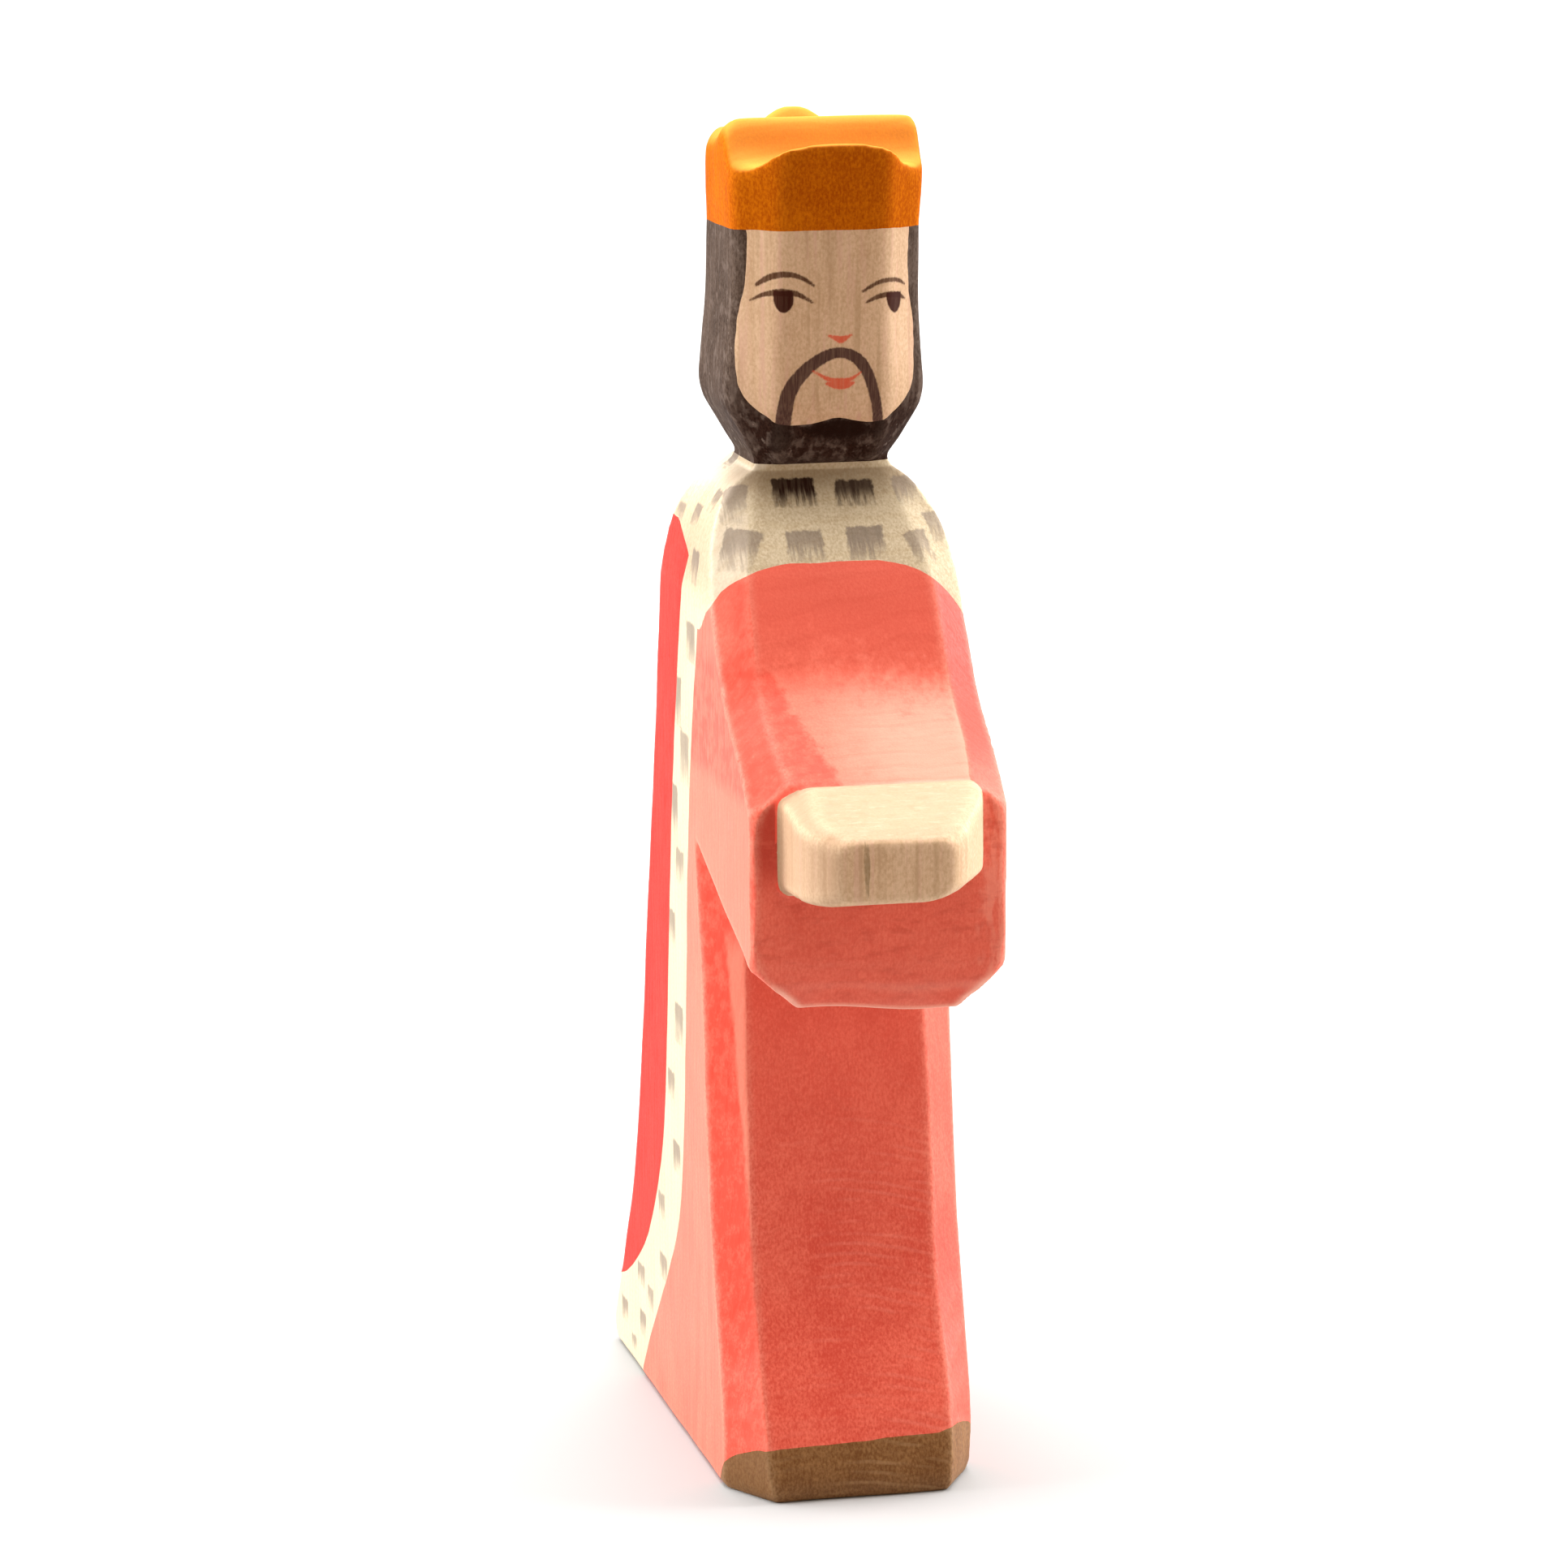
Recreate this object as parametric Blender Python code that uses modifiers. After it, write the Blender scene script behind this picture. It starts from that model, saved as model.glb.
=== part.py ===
"""A king figure band-sawn from one board, knife-carved and stained.

The figure stands on its base at z = 0 and faces -Y, with the board's thickness along X.
The block is divided where its carved and stained regions meet, one object to a region.
Sizes below are in millimetres; y is counted from the toe line towards the train.
"""
import bpy
import bmesh
from math import hypot

MM = 0.001
HEIGHT = 159.6
HALF_BOARD = 15.0
TOE_TO_MID_BASE = 37.0
GAP = 0.3
SPAN_STEPS = 3
ARRIS = 0.5
CUTTER_HALF = 20.0
CUTTER_STEPS = 10

# Heights at which the block narrows or changes region.
NECK_TOP = 119.4
CHIN_UNDERSIDE = NECK_TOP + GAP
CROWN_SEAM = 147.0

STAINS = {
    "crown": (0.80, 0.28, 0.01),
    "face": (0.72, 0.52, 0.34),
    "hair_and_beard": (0.07, 0.05, 0.06),
    "ermine_collar": (0.75, 0.66, 0.50),
    "ermine_trim": (0.75, 0.66, 0.50),
    "cape": (0.78, 0.05, 0.05),
    "robe": (0.72, 0.10, 0.07),
    "sleeves": (0.70, 0.10, 0.07),
    "hands": (0.72, 0.54, 0.36),
    "shoes": (0.19, 0.09, 0.03),
}
WAX_ROUGHNESS = 0.45

# The sawn outline, clockwise from the toes, as smooth runs that meet at corners.
# Each row is the outline on the figure's middle (y, z), the same place on the board's
# face (y, z), where the knife has taken the arris off, and the half-width between the cuts.
ROBE_FRONT = [
    (0.6, 0.0, 8.6, 0.0, 10.2),
    (0.2, 2.0, 7.4, 3.0, 10.8),
    (2.2, 9.0, 7.8, 9.5, 11.2),
    (7.8, 22.5, 11.8, 23.5, 11.0),
    (10.8, 37.0, 15.2, 38.0, 11.0),
    (13.2, 55.0, 17.2, 56.0, 10.8),
    (15.2, 69.4, 21.3, 75.4, 10.4),
]
UNDER_ARMS = [
    (15.2, 69.4, 21.3, 75.4, 10.4),
    (4.0, 65.2, 8.0, 70.8, 9.8),
    (-7.2, 60.8, -6.8, 65.8, 9.4),
]
CUFF_FRONT = [
    (-7.2, 60.8, -6.8, 65.8, 9.4),
    (-8.3, 66.0, -7.6, 66.4, 14.3),
    (-8.6, 75.0, -7.9, 75.0, 14.3),
    (-8.7, 82.8, -8.0, 82.8, 14.3),
    (-8.5, 86.8, -7.8, 83.6, 10.4),
]
ARM_TOP_AND_CHEST = [
    (-8.5, 86.8, -7.8, 83.6, 10.4),
    (-3.6, 90.4, -3.0, 88.2, 11.0),
    (3.0, 95.2, 4.4, 93.8, 11.2),
    (6.6, 101.0, 8.8, 99.4, 11.1),
    (10.6, 107.6, 13.2, 106.4, 10.8),
    (15.2, 113.6, 17.4, 112.8, 9.2),
    (18.2, 117.6, 20.4, 117.2, 7.6),
    (18.8, NECK_TOP, 21.0, NECK_TOP, 6.4),
]
BACK = [
    (33.0, NECK_TOP, 30.6, NECK_TOP, 6.0),
    (35.4, 117.2, 33.0, 116.8, 7.8),
    (40.2, 111.6, 37.2, 110.4, 9.8),
    (43.6, 103.4, 40.2, 102.4, 11.0),
    (45.6, 92.0, 42.2, 91.4, 11.2),
    (53.8, 57.0, 50.4, 56.4, 11.2),
    (57.4, 42.0, 53.8, 41.0, 11.2),
    (62.6, 27.0, 58.8, 25.6, 11.2),
    (68.6, 16.0, 65.0, 14.2, 11.2),
    (74.6, 5.6, 71.2, 4.6, 11.0),
    (75.4, 2.6, 72.0, 2.4, 10.8),
    (74.4, 0.0, 70.6, 0.0, 10.4),
]

# The shoulders' slope seen from the front, from the neck out to the board's face, and the
# small cut round the base: (x, z).
SHOULDER = [
    (7.9, 120.4), (8.2, 119.0), (10.4, 117.4), (12.4, 114.8),
    (13.8, 111.8), (14.6, 107.6), (15.3, 101.0),
]
BASE_CUT = [(15.3, 1.3), (14.3, -0.2)]

# Where one stained region meets the next: (y, z) on the board's face.
SHOE_TOP = [(-6.0, 7.4), (1.0, 6.6), (4.0, 5.8), (7.0, 4.0), (9.0, 2.0), (11.0, -2.0)]
SLEEVE_EDGE = [
    (9.5, 63.6), (15.2, 69.4), (21.3, 75.4), (22.6, 81.0),
    (18.0, 89.0), (8.0, 96.5), (-6.0, 103.0),
]
COLLAR_EDGE = [
    (-4.0, 109.0), (12.0, 108.9), (15.0, 108.6), (18.0, 107.2),
    (20.4, 106.8), (22.4, 109.0), (24.6, 111.4), (33.0, 112.2), (50.0, 112.8),
]
COLLAR_LEAN = 0.8
CAPE_EDGE = [
    (22.6, 116.0), (25.6, 108.0), (28.4, 101.0), (34.1, 76.0), (37.5, 50.4),
    (40.5, 34.5), (48.0, 22.0), (57.2, 14.6), (68.7, 9.4), (84.0, 6.0),
]
TRIM_EDGE = [
    (14.8, 112.0), (18.2, 103.0), (24.4, 78.0), (26.7, 52.9), (28.6, 37.4),
    (31.4, 26.8), (38.5, 17.6), (50.0, 6.1), (58.0, -4.0),
]
FACE_EDGE = [
    (4.0, 125.0), (13.0, 124.9), (14.6, 126.3), (15.8, 129.4), (16.1, 133.0),
    (16.1, 136.6), (15.5, 140.0), (15.2, 143.0), (15.05, 146.0), (15.1, 149.0),
]

# Head and crown, from the chin up. Each row is a height and, at that height, the front, the
# half-width, the front flat's half-width, the front cut's depth, the rear, and the rear cut.
JAW = [
    (CHIN_UNDERSIDE, 17.0, 7.7, 5.6, 2.6, 32.2, 2.2),
    (122.4, 15.0, 9.3, 6.0, 3.2, 33.6, 2.4),
    (126.2, 13.3, 11.5, 6.3, 3.9, 34.8, 2.6),
]
HEAD = [
    (126.2, 13.3, 11.5, 6.3, 3.9, 34.8, 2.6),
    (128.4, 13.0, 11.9, 6.4, 4.0, 35.0, 2.4),
    (134.0, 12.8, 11.5, 6.3, 4.0, 35.2, 2.8),
    (140.5, 12.6, 11.2, 6.2, 4.0, 35.0, 3.4),
    (CROWN_SEAM - GAP / 2, 12.3, 11.2, 6.2, 4.0, 34.6, 3.6),
]
CROWN = [
    (CROWN_SEAM + GAP / 2, 12.3, 11.2, 6.2, 4.0, 34.6, 3.6),
    (150.0, 11.9, 11.4, 6.2, 4.2, 34.8, 4.4),
    (154.0, 11.1, 11.5, 6.2, 4.6, 35.0, 5.2),
    (157.4, 10.4, 11.6, 6.2, 5.0, 35.2, 6.0),
    (159.0, 10.2, 11.1, 6.0, 5.0, 35.2, 6.0),
    (HEIGHT + 0.4, 10.0, 9.8, 5.6, 5.0, 35.2, 5.6),
]
# The crown's rim, front to rear: y, height, and how fast it falls away from the middle.
RIM = [
    (6.0, 157.0, 0.02), (10.8, 156.9, 0.02), (12.8, 155.4, 0.01),
    (15.2, 153.9, 0.0), (17.2, 155.4, 0.0), (18.9, 158.2, 0.0),
    (20.2, 159.2, 0.0), (21.8, 158.4, 0.0), (24.2, 155.8, 0.0),
    (26.8, 154.2, 0.0), (29.4, 155.4, 0.02), (31.6, 158.4, 0.07),
    (33.2, HEIGHT, 0.13), (35.0, 159.0, 0.14), (40.0, 157.0, 0.14),
]
RIM_LOW = 154.0
RIM_STEPS = 14
RIM_HALF = 14.0
MIDDLE_CREST = 20.2
# The rear hollow stops short of the crown's sides.
SIDE_RIM = 158.0
SIDE_RIM_FALL = 0.05
REAR_HOLLOW_HALF = 6.6
HOLLOW_END = 1.6
# The corner on the figure's right is the rounder one.
CORNER_START = 9.3
CORNER_FALL = 0.42

# Folded hands, from the cuffs to the fingertips: y, half-width, bottom, top, corner cut,
# and the larger cut at the top on the figure's right, its width and height.
HANDS = [
    (-9.0, 11.5, 74.7, 86.6, 0.7, 3.2, 1.6),
    (-13.0, 11.1, 74.8, 85.8, 0.7, 2.6, 1.4),
    (-17.0, 10.1, 75.0, 84.8, 0.7, 2.0, 1.2),
    (-20.6, 8.5, 75.3, 83.8, 0.8, 1.4, 1.0),
    (-22.9, 6.5, 75.9, 82.8, 1.0, 1.0, 1.0),
]


def place(x, y, z):
    """A point of the design, in millimetres, as a point in the scene."""
    return (x * MM, (y - TOE_TO_MID_BASE) * MM, z * MM)


def smooth(rows, steps=SPAN_STEPS):
    """Points on a Catmull-Rom curve through the rows, with every row on it."""
    ends = [rows[0]] + list(rows) + [rows[-1]]
    points = []
    for before, start, stop, after in zip(ends, ends[1:], ends[2:], ends[3:]):
        for step in range(steps):
            t = step / steps
            points.append(tuple(
                0.5 * (2 * b + (c - a) * t + (2 * a - 5 * b + 4 * c - d) * t * t
                       + (3 * b - a - 3 * c + d) * t ** 3)
                for a, b, c, d in zip(before, start, stop, after)
            ))
    return points + [tuple(rows[-1])]


def loft(name, rings, collection):
    """A closed solid through rings of equally many points, with flat ends."""
    solid = bmesh.new()
    loops = [[solid.verts.new(point) for point in ring] for ring in rings]
    for near, far in zip(loops, loops[1:]):
        for i in range(len(near)):
            j = (i + 1) % len(near)
            solid.faces.new((near[i], near[j], far[j], far[i]))
    solid.faces.new(loops[0][::-1])
    solid.faces.new(loops[-1])
    bmesh.ops.recalc_face_normals(solid, faces=solid.faces)
    mesh = bpy.data.meshes.new(name)
    solid.to_mesh(mesh)
    solid.free()
    obj = bpy.data.objects.new(name, mesh)
    collection.objects.link(obj)
    return obj


def as_cutter(obj):
    obj.hide_render = True
    obj.display_type = "WIRE"
    return obj


def offset(curve, distance):
    """The curve moved to its left by the distance."""
    moved = []
    for i, (y, z) in enumerate(curve):
        before = curve[max(i - 1, 0)]
        after = curve[min(i + 1, len(curve) - 1)]
        run, rise = after[0] - before[0], after[1] - before[1]
        length = hypot(run, rise)
        moved.append((y - rise / length * distance, z + run / length * distance))
    return moved


def region(name, edge, far, cutters, grow=0.0, drop=None):
    """A cutter on one side of an edge, right through the board, as wide as the far corners say."""
    curve = offset(smooth(edge), grow)
    rings = []
    for step in range(CUTTER_STEPS + 1):
        x = CUTTER_HALF * (2 * step / CUTTER_STEPS - 1)
        near = [place(x, y, z - (drop(x, y) if drop else 0.0)) for y, z in curve]
        rings.append(near + [place(x, y, z) for y, z in far])
    return as_cutter(loft(name, rings, cutters))


def collar_drop(x, y):
    """The collar hangs lower towards the arms, fully in front and hardly at all behind."""
    behind = min(max((y - 18.0) / 16.0, 0.0), 1.0)
    return (1.1 - 0.8 * behind) * ((x + COLLAR_LEAN) / 10.0) ** 4


def shoe_drop(x, y):
    """The shoes' edge leans, and rises once more on the figure's left."""
    return -0.03 * x - 0.3 * max(x - 9.5, 0.0)


def sawn_block(cutters):
    """The body from base to neck: the sawn outline, its arrises cut, its shoulders sloped."""
    runs = [ROBE_FRONT, UNDER_ARMS, CUFF_FRONT, ARM_TOP_AND_CHEST]
    rows = []
    for run in runs:
        rows += smooth(run)[:-1]
    rows.append(ARM_TOP_AND_CHEST[-1])
    rows += smooth(BACK)
    face = [(y, z) for _, _, y, z, _ in rows]
    rings = [
        [place(-HALF_BOARD, y, z) for y, z in face],
        [place(-flat, y, z) for y, z, _, _, flat in rows],
        [place(flat, y, z) for y, z, _, _, flat in rows],
        [place(HALF_BOARD, y, z) for y, z in face],
    ]
    block = loft("sawn_block", rings, cutters)
    front_view = smooth(SHOULDER) + BASE_CUT
    outline = front_view + [(-x, z) for x, z in front_view[::-1]]
    profile = loft("shoulder_profile", [
        [place(x, -40.0, z) for x, z in outline],
        [place(x, 90.0, z) for x, z in outline],
    ], cutters)
    cut(block, "INTERSECT", as_cutter(profile))
    soften(block)
    return as_cutter(block)


def cut(obj, operation, tool):
    modifier = obj.modifiers.new(tool.name, "BOOLEAN")
    modifier.solver = "EXACT"
    modifier.operation = operation
    modifier.object = tool


def soften(obj, width=ARRIS):
    """Worn arrises where two carved faces meet."""
    bevel = obj.modifiers.new("worn_arris", "BEVEL")
    bevel.width = width * MM
    bevel.segments = 2
    bevel.limit_method = "ANGLE"
    bevel.angle_limit = 0.40
    bevel.use_clamp_overlap = True


def settled(obj):
    """The mesh that an object's modifiers give."""
    bpy.context.view_layer.update()
    graph = bpy.context.evaluated_depsgraph_get()
    return bpy.data.meshes.new_from_object(obj.evaluated_get(graph))


def part(name, mesh, collection):
    """A named piece with its own stain."""
    obj = bpy.data.objects.new(name, mesh)
    collection.objects.link(obj)
    material = bpy.data.materials.new(name)
    material.use_nodes = True
    shader = material.node_tree.nodes["Principled BSDF"]
    shader.inputs["Base Color"].default_value = (*STAINS[name], 1.0)
    shader.inputs["Roughness"].default_value = WAX_ROUGHNESS
    shader.inputs["Metallic"].default_value = 0.0
    obj.data.materials.clear()
    obj.data.materials.append(material)
    return obj


def plan(row):
    """The eight corners of the head at one height."""
    z, front, half, front_flat, front_cut, rear, rear_cut = row
    rear_flat = half - rear_cut
    right = [(front_flat, front), (half, front + front_cut), (half, rear - rear_cut), (rear_flat, rear)]
    left = [(-x, y) for x, y in right[::-1]]
    return [place(x, y, z) for x, y in right + left]


def grip(row):
    """The eight corners of the hands at one distance from the cuffs."""
    y, half, bottom, top, corner, cut_width, cut_height = row
    lower = [(half - corner, bottom), (half, bottom + corner)]
    upper = [(half, top - corner), (half - corner, top), (cut_width - half, top), (-half, top - cut_height)]
    lower_again = [(-x, z) for x, z in lower[::-1]]
    return [place(x, y, z) for x, z in lower + upper + lower_again]


def rim_height(x, y, crest, fall):
    """The crown's top at a place: crests, the hollows between them, and the rounded corner."""
    corner = CORNER_FALL * max(-x - CORNER_START, 0.0) ** 2
    height = min(max(crest - fall * x * x, min(crest, RIM_LOW)), HEIGHT - corner)
    if y < MIDDLE_CREST:
        return height
    side = min(max((abs(x) - REAR_HOLLOW_HALF) / HOLLOW_END, 0.0), 1.0)
    side_rim = SIDE_RIM - SIDE_RIM_FALL * (y - MIDDLE_CREST) - corner
    return height + side * max(side_rim - height, 0.0)


def crown_rim(cutters):
    """Everything below the crown's rim: a crest at front, middle and rear."""
    rings = []
    for step in range(2 * RIM_STEPS + 1):
        x = RIM_HALF * (step / RIM_STEPS - 1)
        top = [(y, rim_height(x, y, z, fall)) for y, z, fall in smooth(RIM)]
        rings.append([place(x, y, z) for y, z in top + [(40.0, 140.0), (6.0, 140.0)]])
    return as_cutter(loft("crown_rim", rings, cutters))


def build_body(parts, cutters):
    mesh = settled(sawn_block(cutters))
    above = [(50.0, 130.0), (-4.0, 130.0)]
    ahead_of_arms = [(-30.0, 103.0), (-30.0, 56.0), (9.5, 56.0)]
    below_shoes = [(-6.0, -4.0)]
    behind = [(90.0, 6.0), (90.0, 120.0), (22.6, 120.0)]
    behind_trim = [(90.0, -4.0), (90.0, 120.0), (14.8, 120.0)]
    collar = region("above_collar_edge", COLLAR_EDGE, above, cutters, drop=collar_drop)
    not_collar = region("above_collar_gap", COLLAR_EDGE, above, cutters, -GAP, collar_drop)
    arms = region("ahead_of_sleeve_edge", SLEEVE_EDGE, ahead_of_arms, cutters)
    not_arms = region("ahead_of_sleeve_gap", SLEEVE_EDGE, ahead_of_arms, cutters, -GAP)
    toes = region("below_shoe_top", SHOE_TOP, below_shoes, cutters, 0.0, shoe_drop)
    not_toes = region("below_shoe_gap", SHOE_TOP, below_shoes, cutters, GAP, shoe_drop)
    train = region("behind_cape_edge", CAPE_EDGE, behind, cutters)
    not_train = region("behind_cape_gap", CAPE_EDGE, behind, cutters, -GAP)
    trim = region("behind_trim_edge", TRIM_EDGE, behind_trim, cutters)
    not_trim = region("behind_trim_gap", TRIM_EDGE, behind_trim, cutters, -GAP)
    cuts = {
        "ermine_collar": [("INTERSECT", collar)],
        "sleeves": [("INTERSECT", arms)],
        "shoes": [("INTERSECT", toes)],
        "cape": [("DIFFERENCE", not_collar), ("INTERSECT", train)],
        "ermine_trim": [("DIFFERENCE", not_collar), ("DIFFERENCE", not_train), ("INTERSECT", trim)],
        "robe": [("DIFFERENCE", tool) for tool in (not_collar, not_arms, not_toes, not_trim)],
    }
    for name, steps in cuts.items():
        piece = part(name, mesh.copy(), parts)
        for operation, tool in steps:
            cut(piece, operation, tool)


def build_head(parts, cutters):
    head = loft("head_block", [plan(row) for row in JAW[:-1] + smooth(HEAD, 2)], cutters)
    soften(head)
    mesh = settled(as_cutter(head))
    ahead = [(4.0, 149.0)]
    cut(part("face", mesh.copy(), parts), "INTERSECT", region("ahead_of_hair", FACE_EDGE, ahead, cutters))
    cut(part("hair_and_beard", mesh.copy(), parts), "DIFFERENCE",
        region("ahead_of_hair_gap", FACE_EDGE, ahead, cutters, -GAP))
    crown = loft("crown_block", [plan(row) for row in smooth(CROWN, 2)], cutters)
    soften(as_cutter(crown))
    cut(part("crown", settled(crown), parts), "INTERSECT", crown_rim(cutters))


def build_hands(parts, cutters):
    hands = loft("hands_block", [grip(row) for row in smooth(HANDS, 2)], cutters)
    soften(as_cutter(hands), 0.7)
    part("hands", settled(hands), parts)


def main():
    for obj in list(bpy.data.objects):
        bpy.data.objects.remove(obj, do_unlink=True)
    parts = bpy.data.collections.new("carved_king")
    cutters = bpy.data.collections.new("cutters")
    bpy.context.scene.collection.children.link(parts)
    bpy.context.scene.collection.children.link(cutters)
    build_body(parts, cutters)
    build_head(parts, cutters)
    build_hands(parts, cutters)


main()
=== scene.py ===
"""The looks of the carved king: one block of waxed, stained wood, cut where its colours meet.

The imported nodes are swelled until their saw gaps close, joined into one skin, rounded and worn
like the real block, and cut again into one closed piece for each node. The stains are procedural
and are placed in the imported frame. Lengths are in millimetres until place() or MM makes them
metres. Left and right are the figure's own: x is positive on its left, and it faces -y.
"""
from math import cos, exp, pi, radians, sin

import bmesh
import bpy
import numpy as np
from mathutils import Matrix, Vector, kdtree, noise

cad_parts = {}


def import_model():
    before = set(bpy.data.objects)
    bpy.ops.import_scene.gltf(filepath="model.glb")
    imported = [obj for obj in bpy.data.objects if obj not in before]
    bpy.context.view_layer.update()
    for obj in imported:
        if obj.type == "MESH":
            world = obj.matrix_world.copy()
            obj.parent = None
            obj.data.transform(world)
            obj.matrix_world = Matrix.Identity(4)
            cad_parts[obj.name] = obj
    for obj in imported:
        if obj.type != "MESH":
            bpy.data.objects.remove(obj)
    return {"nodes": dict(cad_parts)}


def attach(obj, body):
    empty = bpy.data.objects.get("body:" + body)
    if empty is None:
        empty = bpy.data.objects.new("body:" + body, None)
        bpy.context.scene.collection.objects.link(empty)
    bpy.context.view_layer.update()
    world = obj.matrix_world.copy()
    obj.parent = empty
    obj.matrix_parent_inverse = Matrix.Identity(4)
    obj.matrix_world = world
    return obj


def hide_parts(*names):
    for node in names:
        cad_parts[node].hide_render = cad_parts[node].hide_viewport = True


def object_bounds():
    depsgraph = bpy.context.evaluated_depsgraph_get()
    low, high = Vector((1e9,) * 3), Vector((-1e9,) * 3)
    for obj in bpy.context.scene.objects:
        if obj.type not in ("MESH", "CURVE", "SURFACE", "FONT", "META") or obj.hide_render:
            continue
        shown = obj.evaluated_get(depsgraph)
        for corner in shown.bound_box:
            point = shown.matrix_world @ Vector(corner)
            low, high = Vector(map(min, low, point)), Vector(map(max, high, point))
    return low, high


MM = 0.001
TOE_TO_MIDDLE = 37.0      # the toe line lies this far in front of the frame's origin

# The skin that all pieces are cut from.
WELD = 0.001              # points of one solid that are this close are one
SWELL = 0.2               # closes the gaps, which are 0.3 wide
LONGEST_SWELL = 2.0       # at a sharp corner, as a multiple of SWELL
VOXEL = 0.4
SMOOTHING = 0.5           # how far one step moves a point towards its neighbours' mean
ROUNDING_STEPS = 5
SANDING_STEPS = 50        # on the head, and where the chest meets the arms
HEAD_SANDED_FROM = 122.0
HEAD_SANDED_FULLY = 127.0
CHEST_BREAK = 95.5        # the height where the chest turns out into the arms
CHEST_SANDED = 6.0        # above and below it
CHEST_FLAT = 10.5         # to each side of the middle
CHEST_FRONT = 28.0        # sanded only this far in front of the frame's origin
ARRIS_ANGLE = 40.0        # in degrees; a sharper edge is shaded as one

# How the knife strayed from the sawn and packed faces.
KNIFE_WAVER = 0.12
KNIFE_WAVELENGTH = 9.0
UNDER_ARMS_SAG = 0.9
UNDER_ARMS_TOP = 70.0
UNDER_ARMS_LOW = 54.0
UNDER_ARMS_REAR = 12.0
UNDER_ARMS_FADE = 6.0
UNDER_ARMS_FROM = -8.0    # it grows from here towards the left
UNDER_ARMS_WIDTH = 14.0
CREST_RISE = 0.4
CREST_BASE = 150.0
CREST_HEIGHT = 9.0
FINGERS_LEAN = 1.5
FINGERS_ROOT = -10.0      # from the toe line, as all y here
FINGERS_LENGTH = 10.0
FOOT = 1.0                # the base isn't raised below this height

# The hands' lower left corner is cut away from below, between these heights.
CORNER_RISE = 1.6
CORNER_WRIST = -8.2
CORNER_DEPTH = 0.4
CORNER_FROM = 3.0
CORNER_WIDTH = 7.0
CORNER_LOW = 71.0
CORNER_LOW_FADE = 3.0
CORNER_TOP = 80.0
CORNER_TOP_FADE = 5.0

# Planes that part the block, and how far the cutters reach past it.
CROWN_SEAM = 147.0
CHIN_SEAM = 119.55
CUFF_FACE = -8.85
CUTTER_HALF = 20.0
CUTTER_PITCH = 0.8
EDGE_STEPS = 12
CLEAR_AHEAD = -30.0
CLEAR_BEHIND = 50.0
CLEAR_ABOVE = 170.0
PAST_FINGERS = -40.0
PAST_TRAIN = 90.0

# Wear on the arrises, from how far a point stands out from its neighbours.
WEAR_BLUR_STEPS = 2
WEAR_FULL = 0.035         # a point that stands out this far is worn bare

# The wood: its pith, its rings' spacing, and the saw's arcs across the front.
PITH = (9.0, -150.0, 0.0)
RING_PITCH = 1.7
RING_BEND = 5.0
RELIEF = 0.06
ARC_PITCH = 1.2
ARC_BOW = 0.014
ARC_BEND = 1.3

# The face is flat in front and cut back at the cheeks.
FACE_FLAT = 6.3
CHEEK_TURN = 0.78         # the cosine of the cheeks' angle to the front
FAR_OFF = 9.0             # a field's value where no stroke or dab is near

# Where one colour meets the next: (y from the toe line, z) on the middle of the board.
SHOE_TOP = [(-6.0, 7.4), (1.0, 6.6), (4.0, 5.8), (7.0, 4.0), (9.0, 2.0), (11.0, -2.0)]
SLEEVE_EDGE = [
    (9.5, 63.6), (15.2, 69.4), (21.3, 75.4), (22.6, 81.0),
    (18.0, 89.0), (8.0, 96.5), (-6.0, 103.0),
]
COLLAR_EDGE = [
    (-4.0, 109.0), (12.0, 108.9), (15.0, 108.6), (18.0, 107.2),
    (20.4, 106.8), (22.4, 109.0), (24.6, 111.4), (33.0, 112.2), (50.0, 112.8),
]
COLLAR_LEAN = 0.8
COLLAR_FLANK_DROP = 2.4   # how much lower it hangs on the figure's right flank
CAPE_EDGE = [
    (22.6, 116.0), (25.6, 108.0), (28.4, 101.0), (34.1, 76.0), (37.5, 50.4),
    (40.5, 34.5), (48.0, 22.0), (57.2, 14.6), (68.7, 9.4), (84.0, 6.0),
]
TRIM_EDGE = [
    (14.8, 112.0), (18.2, 103.0), (24.4, 78.0), (26.7, 52.9), (28.6, 37.4),
    (31.4, 26.8), (38.5, 17.6), (50.0, 6.1), (58.0, -4.0),
]
FACE_EDGE = [
    (4.0, 125.0), (13.0, 124.9), (14.6, 126.3), (15.8, 129.4), (16.1, 133.0),
    (16.1, 136.6), (15.5, 140.0), (15.2, 143.0), (15.05, 146.0), (15.1, 149.0),
]
FACE_LEAN = 0.025         # the hairline stands further back on the figure's right
BRUSH_WANDER = 0.14       # how far a hand-painted edge strays
BRUSH_WAVELENGTH = 3.5

# Painted strokes on the face: (x, z, half-width) along each stroke, as seen from the front.
STROKE_STEPS = 6
BROWS = [
    [(-8.7, 140.8, 0.20), (-7.6, 141.6, 0.36), (-6.4, 142.0, 0.36), (-5.0, 142.0, 0.32),
     (-3.6, 141.5, 0.24), (-2.4, 140.7, 0.14)],
    [(3.4, 139.9, 0.16), (5.0, 140.8, 0.24), (6.5, 141.1, 0.26), (8.0, 140.9, 0.24),
     (8.8, 140.4, 0.12)],
]
LIDS = [
    [(-9.3, 139.0, 0.12), (-8.2, 139.6, 0.24), (-7.2, 139.9, 0.34), (-5.9, 140.0, 0.42),
     (-4.5, 139.8, 0.32), (-3.4, 139.3, 0.22), (-2.5, 138.7, 0.10)],
    [(3.8, 138.6, 0.12), (4.8, 139.1, 0.24), (6.0, 139.4, 0.32), (7.1, 139.4, 0.36),
     (8.2, 139.1, 0.26), (8.9, 138.7, 0.10)],
]
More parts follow.
